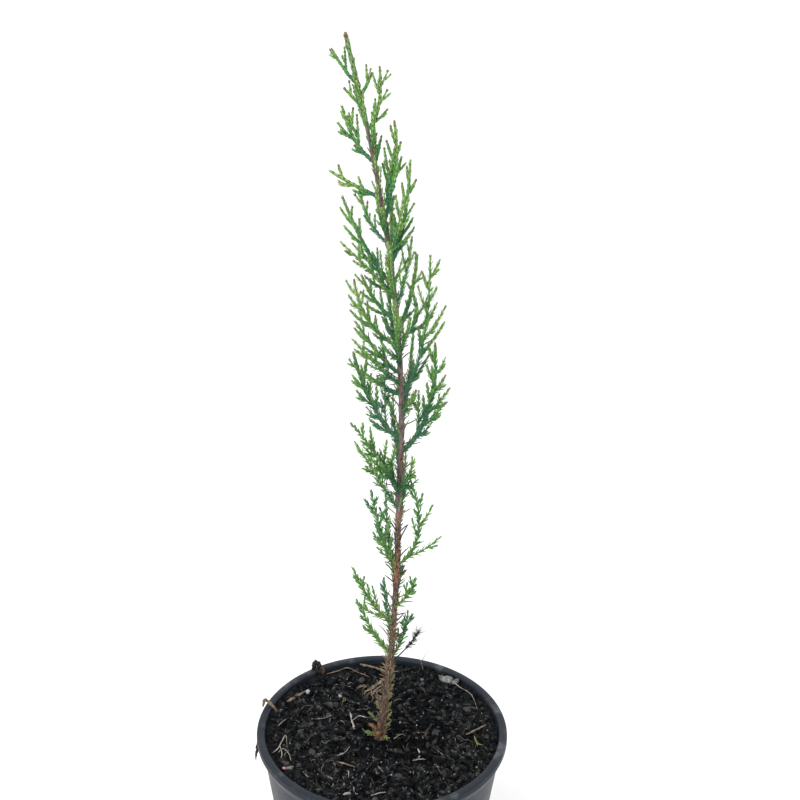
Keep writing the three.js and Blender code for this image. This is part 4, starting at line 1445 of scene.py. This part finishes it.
# %% [markdown]
# Round the upper trunk lie sprigs that belong to no side shoot. They are a short list, and each
# leaves the trunk at a small angle and turns up along it. All limbs then go into whole arrays.

# %% Sprigs along the leader
# Each row: height on the trunk, bearing in degrees and length of a sprig that lies close to the leader.
LEADER_SPRIGS = [
    (262, 275, 9.0), (266, 230, 9.0), (270, 310, 9.0), (276, 200, 8.0), (281, 330, 9.0), (288, 290, 7.0),
    (307, 215, 7.0), (309, 285, 7.0), (311, 170, 7.0), (313, 250, 7.0), (315, 330, 6.5), (317, 205, 7.0),
    (319, 275, 6.5), (322, 240, 6.0), (312, 295, 7.5), (314, 160, 7.5), (316, 235, 7.5), (331, 5, 4.0),
]
LEADER_ANGLE, LEADER_TURN_UP, LEADER_STEP = 0.34, 0.2, 0.02
LEADER_AGES = 0.5, 0.9

for height, bearing, length in LEADER_SPRIGS:
    root = trunk_line(height / TRUNK_HEIGHT)
    leader = unit(trunk_line(height / TRUNK_HEIGHT + LEADER_STEP) - root)
    heading = swung(leader, outward_of((height, bearing)), LEADER_ANGLE)
    tip = root + length * (heading + LEADER_TURN_UP * leader)
    sprig = root, root + 0.5 * length * heading, tip
    limbs.append(("spray", len(GREEN_SHOOTS) - 1, sprig, length, *LEADER_AGES))
kinds = np.array([limb[0] for limb in limbs])
owners = np.array([limb[1] for limb in limbs])
heights, bearings = np.array([row[:2] for row in SHOOTS])[owners].T
lines = [np.array([limb[2][k] for limb in limbs]) for k in range(3)]
lengths = np.array([limb[3] for limb in limbs])
ages = np.array([limb[4:6] for limb in limbs])
print({kind: int((kinds == kind).sum()) for kind in ("stem", "twig", "spray", "fine")},
      "in all", round(lengths.sum() / 1000, 2), "m")

# %% [markdown]
# ## Stems and twigs
# Under the leaves runs a thin green-brown core. All stems are worked out in one array, then all
# twigs, then all sprays, because limbs of one kind share a number of rings.

# %% The cores of the green shoots
# Each kind of limb: rings, sides, radius at the root and radius at the tip.
CORE = {
    "stem": (16, 6, 0.60, 0.36),
    "twig": (8, 5, 0.44, 0.30),
    "spray": (5, 5, 0.36, 0.24),
    "fine": (5, 5, 0.32, 0.20),
}
TWIG_GREEN, TWIG_OLIVE = (0.110, 0.250, 0.080), (0.160, 0.265, 0.085)
TWIG_DARK = (0.080, 0.150, 0.055)
GREEN_NODES = [f"shoot_{n:02d}" for n in range(1, len(GREEN_SHOOTS) + 1)]
is_green = owners < len(GREEN_SHOOTS)


def cores(kind, which):
    """Round limbs along the curves of one kind, thinning evenly from root to tip."""
    steps, sides, root_radius, tip_radius = CORE[kind]
    share = np.linspace(0, 1, steps)
    chosen = [points[which & (kinds == kind)][:, None] for points in lines]
    radii = np.broadcast_to(part_way(root_radius, tip_radius, share), (len(chosen[0]), steps))
    return limbs_along(bowed(chosen, share), radii, sides)


twig_skin, place = new_finish("twig_skin")
fine_tone = speckle(place, 2200.0)
colour = mixed(between(speckle(place, 260.0, 3.0), 0.4, 0.65), TWIG_GREEN, TWIG_OLIVE)
colour = mixed(0.3 * fine_tone, colour, TWIG_DARK)
surface(colour, 0.7, 0.3, fine_tone, 0.0001)
shoot_cores = joined([cores(kind, is_green) for kind in CORE])
add_piece("green_twigs", *shoot_cores, twig_skin, "foliage", GREEN_NODES)

# %% [markdown]
# ## The leaves
# Cypress leaves are small scales in pairs, each pair turned a quarter from the last, so a twig
# looks like a square cord. Young growth low on the plant has longer, sharper leaves that stand
# out. One leaf is four rings of six corners and a tip. It is carried to every place by three
# directions: across the leaf, out of it and along it.

# %% Shape of one leaf
LEAF_RINGS = np.array([(0.0, 0.60), (0.26, 0.96), (0.60, 0.92), (0.86, 0.58)])
LEAF_SECTION = np.array([(1.0, 0.0), (0.62, 0.74), (0.0, 1.0), (-0.62, 0.74), (-1.0, 0.0), (0.0, -0.4)])
LEAF_SIDES = len(LEAF_SECTION)
LEAF_POINTS = len(LEAF_RINGS) * LEAF_SIDES + 1

leaf_across = np.append((LEAF_RINGS[:, 1:] * LEAF_SECTION[:, 0]).ravel(), 0)
leaf_out = np.append((LEAF_RINGS[:, 1:] * LEAF_SECTION[:, 1]).ravel(), 0)
leaf_along = np.append(np.repeat(LEAF_RINGS[:, 0], LEAF_SIDES), 1)
leaf_tip = fan_faces(LEAF_POINTS - 1, np.arange(LEAF_POINTS - 1 - LEAF_SIDES, LEAF_POINTS - 1), True)
leaf_sides = grid_faces(len(LEAF_RINGS), LEAF_SIDES)
leaf_base = np.arange(LEAF_SIDES)[None, ::-1]


def leaves(spots, mask=slice(None)):
    """Each leaf of the mask: root + across, out and along its directions, bowed by half a sine wave."""
    spots = {key: values[mask] for key, values in spots.items()}
    heading, out = spots["heading"], spots["out"]
    across = np.cross(out, heading)
    length, width, thick, bow = (spots[key][:, None, None] for key in ("length", "width", "thick", "bow"))
    arch = (np.sin(np.pi * leaf_along) * bow[..., 0])[..., None]
    points = spots["root"][:, None] + leaf_along[:, None] * length * heading[:, None]
    points = points + leaf_across[:, None] * width * across[:, None]
    points = points + (leaf_out[:, None] * thick + arch * length) * out[:, None]
    faces = [copied_faces(f, len(points), LEAF_POINTS) for f in (leaf_sides, leaf_tip, leaf_base)]
    return points.reshape(-1, 3), faces


print("one leaf:", 2 * len(leaf_sides) + len(leaf_tip) + LEAF_SIDES - 2, "triangles")

# %% [markdown]
# A leaf's place follows its limb: so far along, on a side that turns a quarter with each pair.
# All leaves of all limbs are numbered in one long row. Dividing that row by the number of pairs
# each limb can hold tells every leaf which limb it is on and how far along.

# %% Pairs of leaves along limbs
PAIR_PLACE, PAIR_TURN, ANY_ROLL, ROLL_JITTER = 0.35, np.pi / 2, 6.28, 0.35


def opposite(leaf, turn):
    """The roll of each leaf in a row of pairs: each pair turned on, its two leaves half a turn apart."""
    return leaf // 2 * turn + leaf % 2 * np.pi


def pairs_along(which, pitch, seed):
    """Leaves in pairs on the chosen limbs: limb, leaf, share, pairs left, place, heading and side."""
    pairs = np.maximum(2, (lengths[which] / pitch).astype(int))
    limb = np.repeat(np.arange(len(pairs)), 2 * pairs)
    leaf = np.arange(len(limb)) - np.repeat(2 * (np.cumsum(pairs) - pairs), 2 * pairs)
    share = (leaf // 2 + PAIR_PLACE) / pairs[limb]
    line = [points[which][limb] for points in lines]
    heading = bowed_heading(line, share)
    across = across_of(heading, unit(line[2] - line[0]))
    roll = opposite(leaf, PAIR_TURN) + ANY_ROLL * chance(limb, seed)
    roll = roll + ROLL_JITTER * (chance(limb + 0.5, leaf) - 0.5)
    side = swung(across, np.cross(heading, across), roll)
    return limb, leaf, share, pairs[limb] - leaf // 2, bowed(line, share), heading, side


def leaf_spots(root, heading, side, lean, length, width, thick, bow, **more):
    """Leaves that lean off a heading towards their side: root, direction, back, sizes and the rest."""
    sizes = {"length": length, "width": width, "thick": thick, "bow": bow}
    spots = {key: np.broadcast_to(value, len(root)) for key, value in sizes.items()}
    spots["root"] = root
    spots["heading"] = swung(heading, side, lean)
    spots["out"] = swung(side, -heading, lean)
    return {**spots, **more}


def varied(spread, first, second):
    """1, more or less by up to half the spread."""
    return 1 + spread * (chance(first, second) - 0.5)


print("pairs can follow", len(limbs), "limbs")

# %% [markdown]
# How sharp and spreading a leaf is depends on the height of its shoot and on its age: old leaves
# low down are awls, young ones high up are scales. Its size goes by its limb, a draw and the height.

# %% Shapes and sizes of the leaves
SCALE = dict(length=2.1, width=0.56, thick=0.28, bow=0.09, spread=math.radians(7))
AWL = dict(length=2.9, width=0.44, thick=0.32, bow=-0.05, spread=math.radians(33))
AWL_YOUNG, AWL_AGEING, AWL_LEAST = 1.25, 0.7, 0.5
ORDER_SIZE = {"stem": 1.05, "twig": 0.90, "spray": 0.79, "fine": 0.74}
SIZE_VARIETY, TIP_SHRINKS = 0.24, 0.25
# Heights between which a shoot stops having awls, being low or shaded, and starts being full or top.
AWL_SHOOTS, LOW_SHOOTS, SHADED_SHOOTS = (115.0, 300.0), (95.0, 130.0), (150.0, 210.0)
FULL_SHOOTS, TOP_SHOOTS = (255.0, 275.0), (285.0, 315.0)
PLAIN_SIZE, FULL_SIZE, SHADED_SIZE, TOP_LOSS, LOW_GAIN = 0.97, 0.07, 0.08, 0.18, 0.12


def still(span, height):
    """1 below a span of heights, 0 above it, and a smooth step down between."""
    return 1 - smooth_step(*span, height)


def leaf_shape(age, height):
    """Each measure on the way from scale to awl: the lower and the older, the more of an awl."""
    awl = still(AWL_SHOOTS, height) * np.clip(AWL_YOUNG - AWL_AGEING * age, AWL_LEAST, 1)
    return {key: part_way(SCALE[key], AWL[key], awl) for key in SCALE}


def leaf_size(kind, limb, leaf, share, height):
    """A product: the limb's kind, a draw, less by the power 5 towards its tip, and the shoot's height."""
    size = np.array([ORDER_SIZE[name] for name in kind])[limb] * varied(SIZE_VARIETY, limb + 0.75, leaf)
    full, top = smooth_step(*FULL_SHOOTS, height), smooth_step(*TOP_SHOOTS, height)
    by_light = PLAIN_SIZE + FULL_SIZE * full + SHADED_SIZE * still(SHADED_SHOOTS, height)
    size = size * (1 - TIP_SHRINKS * share**5) * by_light
    return size * (1 - TOP_LOSS * top) * (1 + LOW_GAIN * still(LOW_SHOOTS, height))


print("leaves from", SCALE["length"], "to", AWL["length"], "mm before they vary")

# %% [markdown]
# How yellow a leaf is depends on its age too, and shoots at the front get a lighter, yellower tint
# than those behind: painted light. On the lowest shoots it is the other way about: there the old
# leaves fade to yellow.

# %% Places of the leaves on the green shoots
LEAF_PITCH, STEM_PITCH, LOW_PITCH = 1.0, 1.15, 0.5
LEAN_VARIETY, TIP_CLOSED, TIP_OPENS, LEAF_ROOT = 0.5, 0.6, 2.0, 0.7
AGE_MIDDLE, AGE_STRETCH, SHADED_LOSS, UPPER_GAIN = 0.42, 1.45, 0.15, 0.15
LOW_TONE, LOW_FADE = 0.76, 0.62
# The first gain tints shoots at the front lighter and yellower: painted light.
FRONT_LIGHT_GAIN, SHOOT_VARIETY, LIMB_VARIETY, LEAF_VARIETY = 0.18, 0.30, 0.34, 0.30


def freshness_and_front_light(which):
    """How much yellower each limb is than its age: painted light by its facing, and a draw by its shoot and
    itself.
    """
    by_shoot, by_limb = chance(owners[which], 77) - 0.5, chance(np.arange(which.sum()), 7) - 0.5
    # Shoots facing the front get a lighter, yellower tint: painted light.
    facing = FRONT_LIGHT_GAIN * -np.sin(np.radians(bearings[which]))
    return facing + SHOOT_VARIETY * by_shoot + LIMB_VARIETY * by_limb


def leaf_tone(age, height):
    """The age stretched about its middle, less in the shade, more at the top, and turned round low down."""
    tone = AGE_MIDDLE + AGE_STRETCH * (age - AGE_MIDDLE) - SHADED_LOSS * still(SHADED_SHOOTS, height)
    tone = tone + UPPER_GAIN * smooth_step(*FULL_SHOOTS, height)
    return part_way(tone, LOW_TONE - LOW_FADE * age, still(LOW_SHOOTS, height))


def leaf_places(which):
    """Every leaf on the chosen limbs: its spot, age, pairs left to the tip, limb and shoot's height."""
    kind = kinds[which]
    pitch = LEAF_PITCH * np.where(kind == "stem", STEM_PITCH, 1)
    pitch = pitch * (1 + LOW_PITCH * still(LOW_SHOOTS, heights[which]))
    limb, leaf, share, left, place, heading, side = pairs_along(which, pitch, 3)
    height, age = heights[which][limb], part_way(*ages[which][limb].T, share)
    shape, size = leaf_shape(age, height), leaf_size(kind, limb, leaf, share, height)
    lean = shape["spread"] * varied(LEAN_VARIETY, limb + 0.25, leaf)
    lean = lean * np.clip((left - TIP_CLOSED) / TIP_OPENS, 0, 1)
    core = part_way(*np.array([CORE[name][2:] for name in kind])[limb].T, share)
    root = place + side * (LEAF_ROOT * core)[:, None]
    tone = leaf_tone(age, height) + freshness_and_front_light(which)[limb]
    tone = tone + LEAF_VARIETY * (chance(limb + 0.15, leaf) - 0.5)
    sizes = [shape[key] * size for key in ("length", "width", "thick")]
    return leaf_spots(root, heading, side, lean, *sizes, shape["bow"], age=tone, left=left, limb=limb,
                      height=height, main=np.isin(kind, ("stem", "twig"))[limb])


green_spots = leaf_places(is_green)
print(len(green_spots["age"]), "leaves on the green shoots")

# %% [markdown]
# Colour goes by age and spray: blue-green near the trunk, mid green along the twigs, yellow-green
# at the tips, and olive-brown in a few resting buds. Each tint is a material and a piece of its
# own, so no pattern has to find its place on thousands of tiny leaves.

# %% Leaf finishes
def leaf_finish(name, dark, light, roughness=0.55):
    """Waxy leaf: a tone that drifts every few millimetres, one that changes by the leaf, and a sheen."""
    material, place = new_finish(name)
    drift = between(speckle(place, 140.0), 0.3, 0.7)
    by_leaf = between(speckle(place, 900.0, 1.0), 0.36, 0.64)
    mottle = speckle(place, 1900.0)
    colour = mixed(0.5 * drift + 0.5 * by_leaf, dark, light)
    surface(colour, roughness + 0.15 * mottle, 0.3, mottle, 0.00005)
    return material


# Each tint: name, the age up to which leaves take it, dark tone and light tone.
LEAF_TINTS = [
    ("leaves_blue_green", 0.14, (0.026, 0.112, 0.066), (0.062, 0.218, 0.116)),
    ("leaves_mid_green", 0.40, (0.044, 0.166, 0.052), (0.110, 0.322, 0.090)),
    ("leaves_fresh_green", 0.72, (0.090, 0.226, 0.050), (0.196, 0.412, 0.098)),
    ("leaves_bright_tips", np.inf, (0.168, 0.298, 0.074), (0.300, 0.462, 0.134)),
]
BUD_TINT = ((0.140, 0.120, 0.062), (0.225, 0.175, 0.098))
BUD_SHARE, BUDS_ABOVE, BUD_SEED = 0.55, 150, 9

is_bud = (chance(green_spots["limb"], BUD_SEED) < BUD_SHARE) & (green_spots["height"] > BUDS_ABOVE)
is_bud = is_bud & green_spots["main"] & (green_spots["left"] <= 1)
lower = -np.inf
for name, upper, dark, light in LEAF_TINTS:
    mask = (green_spots["age"] >= lower) & (green_spots["age"] < upper) & ~is_bud
    shape = leaves(green_spots, mask)
    add_piece(name, *shape, leaf_finish(name, dark, light), "foliage", GREEN_NODES)
    lower = upper
bud_finish = leaf_finish("leaf_buds", *BUD_TINT)
add_piece("leaf_buds", *leaves(green_spots, is_bud), bud_finish, "foliage", GREEN_NODES)

# %% [markdown]
# ## Leaves on the trunk
# The trunk has leaves of its own. At its foot they are dead tan bristles, in the middle they are
# thin needles that stand well off, a few millimetres apart, and towards the tip they lie close and
# green like those of the twigs.

# %% Needles along the trunk
TREND_STEP = 0.004
NEEDLE_ROOT, NEEDLE_ROOT_ENDS = 0.8, (1.0, 0.98)
LENGTH_VARIETY, BARK_LEAN_VARIETY = 0.5, 0.6
NEEDLE_BOW, NEEDLE_BOW_MIDDLE = 0.14, 0.6


def trunk_spots(height, angle, lean, length, width, thick, seed):
    """Leaf places on the bark at a height and angle, leaning off the trunk's own line by lean."""
    share = height / TRUNK_HEIGHT
    above, below = (trunk_line(np.clip(share + step, 0, 1)) for step in (TREND_STEP, -TREND_STEP))
    heading = unit(above - below)
    side = squared(level_way(angle), heading)
    index = np.arange(len(height))
    depth = NEEDLE_ROOT * trunk_radius(share) * smooth_step(*NEEDLE_ROOT_ENDS, share)
    length = length * varied(LENGTH_VARIETY, index, seed)
    lean = lean * varied(BARK_LEAN_VARIETY, index, seed + 1)
    bow = NEEDLE_BOW * (chance(index, seed + 2) - NEEDLE_BOW_MIDDLE)
    root = trunk_line(share) + side * depth[:, None]
    return leaf_spots(root, heading, side, lean, length, width, thick, bow)


def in_pairs(heights):
    """Two leaves on opposite sides at each height, each pair turned a quarter and a little more."""
    return np.repeat(heights, 2), opposite(np.arange(2 * len(heights)), NEEDLE_TURN)


print("needles stand", NEEDLE_SPACING, "mm apart")

# %% [markdown]
# The dead leaves on the lower bark have no order left, so they are dealt out by chance. The needles
# above them still stand in pairs, and a draw says which of them are dead, dark or green.

# %% Dead leaves and needles on the bark
# Dead leaves: count, heights, leans, their length, width and thickness, and four seeds.
DEAD_LEAVES = [
    (210, (2, 66), (0.5, 1.3), (3.6, 0.26, 0.24), (101, 102, 104, 103)),
    (380, (36, 120), (0.30, 0.85), (2.0, 0.26, 0.20), (105, 107, 106, 108)),
]
# Needles: lean and length low down and high up, and the heights between which each changes.
NEEDLE_TOP, NEEDLE_WIDTH, NEEDLE_THICKNESS = 302, 0.42, 0.50
NEEDLE_LEANS, LEAN_CHANGES = (0.85, 0.35), (200, 260)
NEEDLE_LENGTHS, LENGTH_CHANGES = (8.2, 3.4), (190, 250)
DEAD_SHARE, DEAD_BELOW, DARK_SHARE, DARK_BELOW = 0.3, 200, 0.7, 250

tan_parts = []
for count, span, leans, sizes, seeds in DEAD_LEAVES:
    height, angle, lean = (chance(np.arange(count), seed) for seed in seeds[:3])
    height, lean = part_way(*span, height), part_way(*leans, lean)
    tan_parts.append(leaves(trunk_spots(height, 2 * np.pi * angle, lean, *sizes, seeds[3])))
height, angle = in_pairs(np.arange(NEEDLE_START, NEEDLE_TOP, NEEDLE_SPACING))
lean = part_way(*NEEDLE_LEANS, smooth_step(*LEAN_CHANGES, height))
length = part_way(*NEEDLE_LENGTHS, smooth_step(*LENGTH_CHANGES, height))
needles = trunk_spots(height, angle, lean, length, NEEDLE_WIDTH, NEEDLE_THICKNESS, 111)
draw = chance(np.arange(len(height)), 115)
is_dead = (draw < DEAD_SHARE) & (height < DEAD_BELOW)
is_dark = (draw >= DEAD_SHARE) & (draw < DARK_SHARE) & (height < DARK_BELOW)
tan_parts.append(leaves(needles, is_dead))
tan_needle = leaf_finish("tan_needle", (0.150, 0.102, 0.062), (0.370, 0.280, 0.175), 0.8)
dark_needle = leaf_finish("dark_needle", (0.052, 0.046, 0.042), (0.115, 0.098, 0.086), 0.7)
add_piece("trunk_tan_needles", *joined(tan_parts), tan_needle, "dead_foliage")
add_piece("trunk_dark_needles", *leaves(needles, is_dark), dark_needle, "dead_foliage")

# %% [markdown]
# The leaves of the leader lie close, a pair to each millimetre. At its very tip they are shorter and
# broader and close up to a brown bud.

# %% Close leaves and bud of the leader
# Close leaves: lean, length, width and thickness, each below the tip and at it.
CLOSE_LEAF = [(0.15, 0.31), (2.5, 1.6), (0.68, 0.80), (0.48, 0.58)]
CLOSE_START, CLOSE_END, CLOSE_SPACING = 308, 344.6, 1.0
TIP_CHANGES, BUD_ABOVE = (338, 343), 341

close_height, close_angle = in_pairs(np.arange(CLOSE_START, CLOSE_END, CLOSE_SPACING))
near_tip = smooth_step(*TIP_CHANGES, close_height)
close_leaf = [part_way(*values, near_tip) for values in CLOSE_LEAF]
close_leaves = trunk_spots(close_height, close_angle, *close_leaf, 121)
is_tip = close_height > BUD_ABOVE
green_parts = [leaves(close_leaves, ~is_tip), leaves(needles, ~is_dead & ~is_dark)]
trunk_green = leaf_finish("trunk_green", (0.105, 0.205, 0.080), (0.180, 0.295, 0.098))
add_piece("trunk_green_needles", *joined(green_parts), trunk_green, "foliage")
add_piece("leader_bud", *leaves(close_leaves, is_tip), bud_finish, "foliage")

# %% [markdown]
# The older stems keep a few such needles too, well apart and longer than the leaves round them.

# %% Needles along the older stems
STEM_NEEDLE_PITCH, STEM_NEEDLES_BELOW = 5.0, 215
STEM_NEEDLE_LENGTHS, STEM_NEEDLE_VARIETY = (5.6, 4.0), (0.7, 1.2)
STEM_NEEDLE_LEANS, STEM_NEEDLE_BOW = (0.5, 0.9), 0.1
STEM_NEEDLE_WIDTH, STEM_NEEDLE_THICKNESS, STEM_NEEDLE_ROOT = 0.32, 0.40, 0.3
NEEDLES_UP_TO, KEPT_SHARE, DRY_NEEDLES = 0.75, 0.7, 0.4

is_old_stem = is_green & (kinds == "stem") & (heights < STEM_NEEDLES_BELOW)
limb, leaf, share, _, place, heading, side = pairs_along(is_old_stem, STEM_NEEDLE_PITCH, 5)
draw = chance(limb, leaf + 0.3)
length = part_way(*STEM_NEEDLE_LENGTHS, share) * part_way(*STEM_NEEDLE_VARIETY, draw)
lean, bow = part_way(*STEM_NEEDLE_LEANS, draw), STEM_NEEDLE_BOW * (draw - NEEDLE_BOW_MIDDLE)
stem_needles = leaf_spots(place + STEM_NEEDLE_ROOT * side, heading, side, lean, length,
                          STEM_NEEDLE_WIDTH, STEM_NEEDLE_THICKNESS, bow)
is_kept = (share < NEEDLES_UP_TO) & (chance(limb + 0.4, leaf) < KEPT_SHARE)
is_dry = chance(limb + 0.6, leaf) < DRY_NEEDLES
stem_green = leaf_finish("stem_needle_green", (0.040, 0.095, 0.060), (0.080, 0.160, 0.085))
add_piece("stem_needles_dark", *leaves(stem_needles, is_kept & is_dry), dark_needle, "foliage")
add_piece("stem_needles_green", *leaves(stem_needles, is_kept & ~is_dry), stem_green, "foliage")

# %% [markdown]
# Small tufts of yellow and orange leaves sprout round the foot, where the seedling's first leaves
# were. Each is a short limb with the same spreading leaves as the low shoots.

# %% Tufts at the foot
# Each row: height on the trunk, bearing in degrees, reach, rise, and which tint it takes.
FOOT_TUFTS = [
    (2, 192, 5.0, 0.8, "yellow"), (3, 200, 8.0, 2.8, "green"), (9, 176, 6.2, 7.0, "green"),
    (5, 190, 4.6, 3.6, "orange"), (2, 312, 5.0, 1.0, "yellow"), (5, 340, 4.0, 6.0, "green"),
    (11, 345, 3.2, 4.5, "yellow"), (17, 352, 2.2, 4.0, "green"), (16, 170, 2.6, 5.0, "yellow"),
    (3, 255, 3.5, 3.5, "orange"), (4, 90, 5.0, 4.0, "green"), (23, 340, 1.8, 4.5, "yellow"),
    (28, 355, 1.8, 3.5, "yellow"), (33, 10, 1.6, 3.5, "green"),
]
TUFT_TINTS = {
    "yellow": ((0.200, 0.220, 0.075), (0.340, 0.345, 0.135)),
    "green": ((0.125, 0.205, 0.075), (0.225, 0.310, 0.120)),
    "orange": ((0.330, 0.150, 0.055), (0.460, 0.260, 0.110)),
}
TUFT_PAIRS, TUFT_PLACE, TUFT_TURN = 6, 0.8, np.pi / 2 + 0.3
TUFT_ROOT, TUFT_LEAF_REACH, TUFT_LEANS = 1.5, 0.75, (0.75, 0.40)
# Width, thickness and bow of a tuft's leaves.
TUFT_LEAF_LENGTH, TUFT_LEAF_SIZES = 1.4, (0.34, 0.22, 0.04)
STALK_RADIUS, STALK_SIDES, STALK_REACH = 0.3, 5, np.array([0, 0.4, 0.8])
for tint, tones in TUFT_TINTS.items():
    rows = np.array([row[:4] for row in FOOT_TUFTS if row[4] == tint], float)
    height, bearing, reach, rise = rows.T
    outward = level_way(np.radians(bearing))
    root = trunk_line(height / TRUNK_HEIGHT) + TUFT_ROOT * outward
    way = reach[:, None] * outward + rise[:, None] * UP
    tuft = np.repeat(np.arange(len(rows)), 2 * TUFT_PAIRS)
    leaf = np.tile(np.arange(2 * TUFT_PAIRS), len(rows))
    share = (leaf // 2 + TUFT_PLACE) / TUFT_PAIRS
    heading = unit(way)[tuft]
    across = unit(np.cross(heading, UP))
    side = swung(across, np.cross(heading, across), opposite(leaf, TUFT_TURN))
    place = root[tuft] + (TUFT_LEAF_REACH * share)[:, None] * way[tuft]
    lean, length = part_way(*TUFT_LEANS, share), TUFT_LEAF_LENGTH + chance(tuft, leaf)
    spots = leaf_spots(place, heading, side, lean, length, *TUFT_LEAF_SIZES)
    stalks = root[:, None] + STALK_REACH[:, None] * way[:, None]
    stalks = limbs_along(stalks, np.full(stalks.shape[:2], STALK_RADIUS), STALK_SIDES)
    finish = leaf_finish(f"foot_tuft_{tint}", *tones)
    add_piece(f"foot_tufts_{tint}", *joined([leaves(spots), stalks]), finish, "foliage")

# %% [markdown]
# ## The two dead shoots
# Low on the left hangs a small tangle of dry twigs, and low on the right a dark wisp like a torn
# feather. Both have thin strands: each starts on the dead stem, goes its own way, and bends as the
# square of its length.

# %% Strands of a dead shoot
STRAND_STEPS, STRAND_SIDES, STRAND_TAPER = 9, 4, 0.6
STRAND_CURL, STRAND_LEAST, STRAND_VARY = 2.0, 0.45, 0.75
WISP_STEPS, WISP_SIDES = 12, 6


def strands(shoot, count, first, last, length, droop, spread, radius, seed):
    """Strands off a dead stem between two shares of it: root + length t heading + a bend of t squared."""
    stem = stem_line(shoot)
    draws = [chance(np.arange(count), seed + k) for k in range(6)]
    share = part_way(first, last, draws[0])
    loose = np.stack(draws[1:4], axis=-1) - 0.5
    heading = unit(bowed_heading(stem, share) + spread * 2 * loose)
    bend = np.cross(heading, UP) * (draws[4] - 0.5)[:, None] * STRAND_CURL - droop * UP
    reach = (length * (STRAND_LEAST + STRAND_VARY * draws[5]))[:, None, None]
    along = np.linspace(0, 1, STRAND_STEPS)
    t = along[:, None]
    strand_lines = bowed(stem, share)[:, None] + reach * (t * heading[:, None] + t**2 * bend[:, None])
    radii = radius * (1 - STRAND_TAPER * along) * np.ones((count, 1))
    return limbs_along(strand_lines, radii, STRAND_SIDES)


def dead_stem(shoot, radius, last):
    """A round limb along the stem's curve up to a share of it, tapering as the strands do."""
    share = np.linspace(0, last, WISP_STEPS)
    line = bowed([point[None, None] for point in stem_line(shoot)], share[None])
    return limbs_along(line, (radius * (1 - STRAND_TAPER * share))[None], WISP_SIDES)


print("a strand has", STRAND_STEPS, "rings of", STRAND_SIDES, "points")

# %% [markdown]
# The tangle is a short list of crooked twigs with a few strands among them. The wisp is a dead stem
# with two lots of strands: some droop, and some fly up.

# %% Dead tuft and dead wisp
# Each row: radius, and knots of x, y and height above the trunk's foot.
TUFT_TWIGS = [
    (0.45, [(0.5, 0.5, 34.5), (-2.7, -1.0, 32.6), (-5.9, -2.0, 30.4), (-9.7, -2.6, 29.4)]),
    (0.36, [(-2.7, -1.0, 32.4), (-5.8, -0.5, 30.6), (-8.2, 0.5, 28.1), (-9.7, 1.0, 25.3)]),
    (0.38, [(-0.4, 0.0, 31.6), (-3.2, -2.0, 30.5), (-4.8, -3.0, 28.5), (-6.2, -3.4, 28.1)]),
    (0.38, [(-0.4, 0.0, 29.4), (-2.6, -2.5, 29.4), (-3.0, -3.5, 26.9), (-1.4, -3.0, 23.5)]),
    (0.32, [(-5.7, -2.0, 30.3), (-5.4, -2.6, 27.4), (-4.9, -2.8, 25.7), (-5.8, -2.4, 23.0)]),
    (0.34, [(0.6, 0.5, 35.8), (-1.5, 1.2, 33.0), (-4.1, 1.8, 30.7), (-5.7, 2.4, 29.5)]),
    (0.30, [(-2.5, -2.5, 29.4), (-4.6, -1.5, 28.6), (-6.5, -0.8, 27.5), (-8.1, -0.2, 25.4)]),
    (0.30, [(0.3, 0.0, 25.7), (-1.0, -2.0, 25.9), (-2.6, -3.0, 23.6), (-4.6, -3.2, 23.0)]),
]
# Strands: count, first and last share of the stem, length, droop, spread, radius and seed.
TUFT_STRANDS = (14, 0.2, 1, 4.5, 0.6, 0.9, 0.16, 131)
WISP_STRANDS = [(90, 0.44, 0.86, 4.2, 0.4, 0.7, 0.13, 141), (60, 0.68, 0.90, 4.2, -0.6, 1.4, 0.11, 151)]
WISP_RADIUS, WISP_REACH, TUFT_RAGGED = 0.46, 0.88, 0.3

dry_tuft = earthy("dry_tuft", (0.110, 0.080, 0.055), (0.360, 0.285, 0.215), (0.05, 0.035, 0.025), 0.9, 0.15)
dark_wisp = earthy("dark_wisp", (0.016, 0.017, 0.019), (0.075, 0.077, 0.080), (0.15, 0.15, 0.15), 0.8, 0.2)
tuft_shoot, wisp_shoot = DEAD_SHOOTS
tuft_rows = [(radius, np.array(knots) + TRUNK_FOOT * UP) for radius, knots in TUFT_TWIGS]
tuft_parts = [ragged_limbs(tuft_rows, TUFT_RAGGED), strands(tuft_shoot, *TUFT_STRANDS)]
wisp_parts = [dead_stem(wisp_shoot, WISP_RADIUS, WISP_REACH)]
wisp_parts += [strands(wisp_shoot, *row) for row in WISP_STRANDS]
add_piece("dead_tuft", *joined(tuft_parts), dry_tuft, "dead_foliage", ["dead_twig_01"])
add_piece("dead_wisp", *joined(wisp_parts), dark_wisp, "dead_foliage", ["dead_twig_02"])
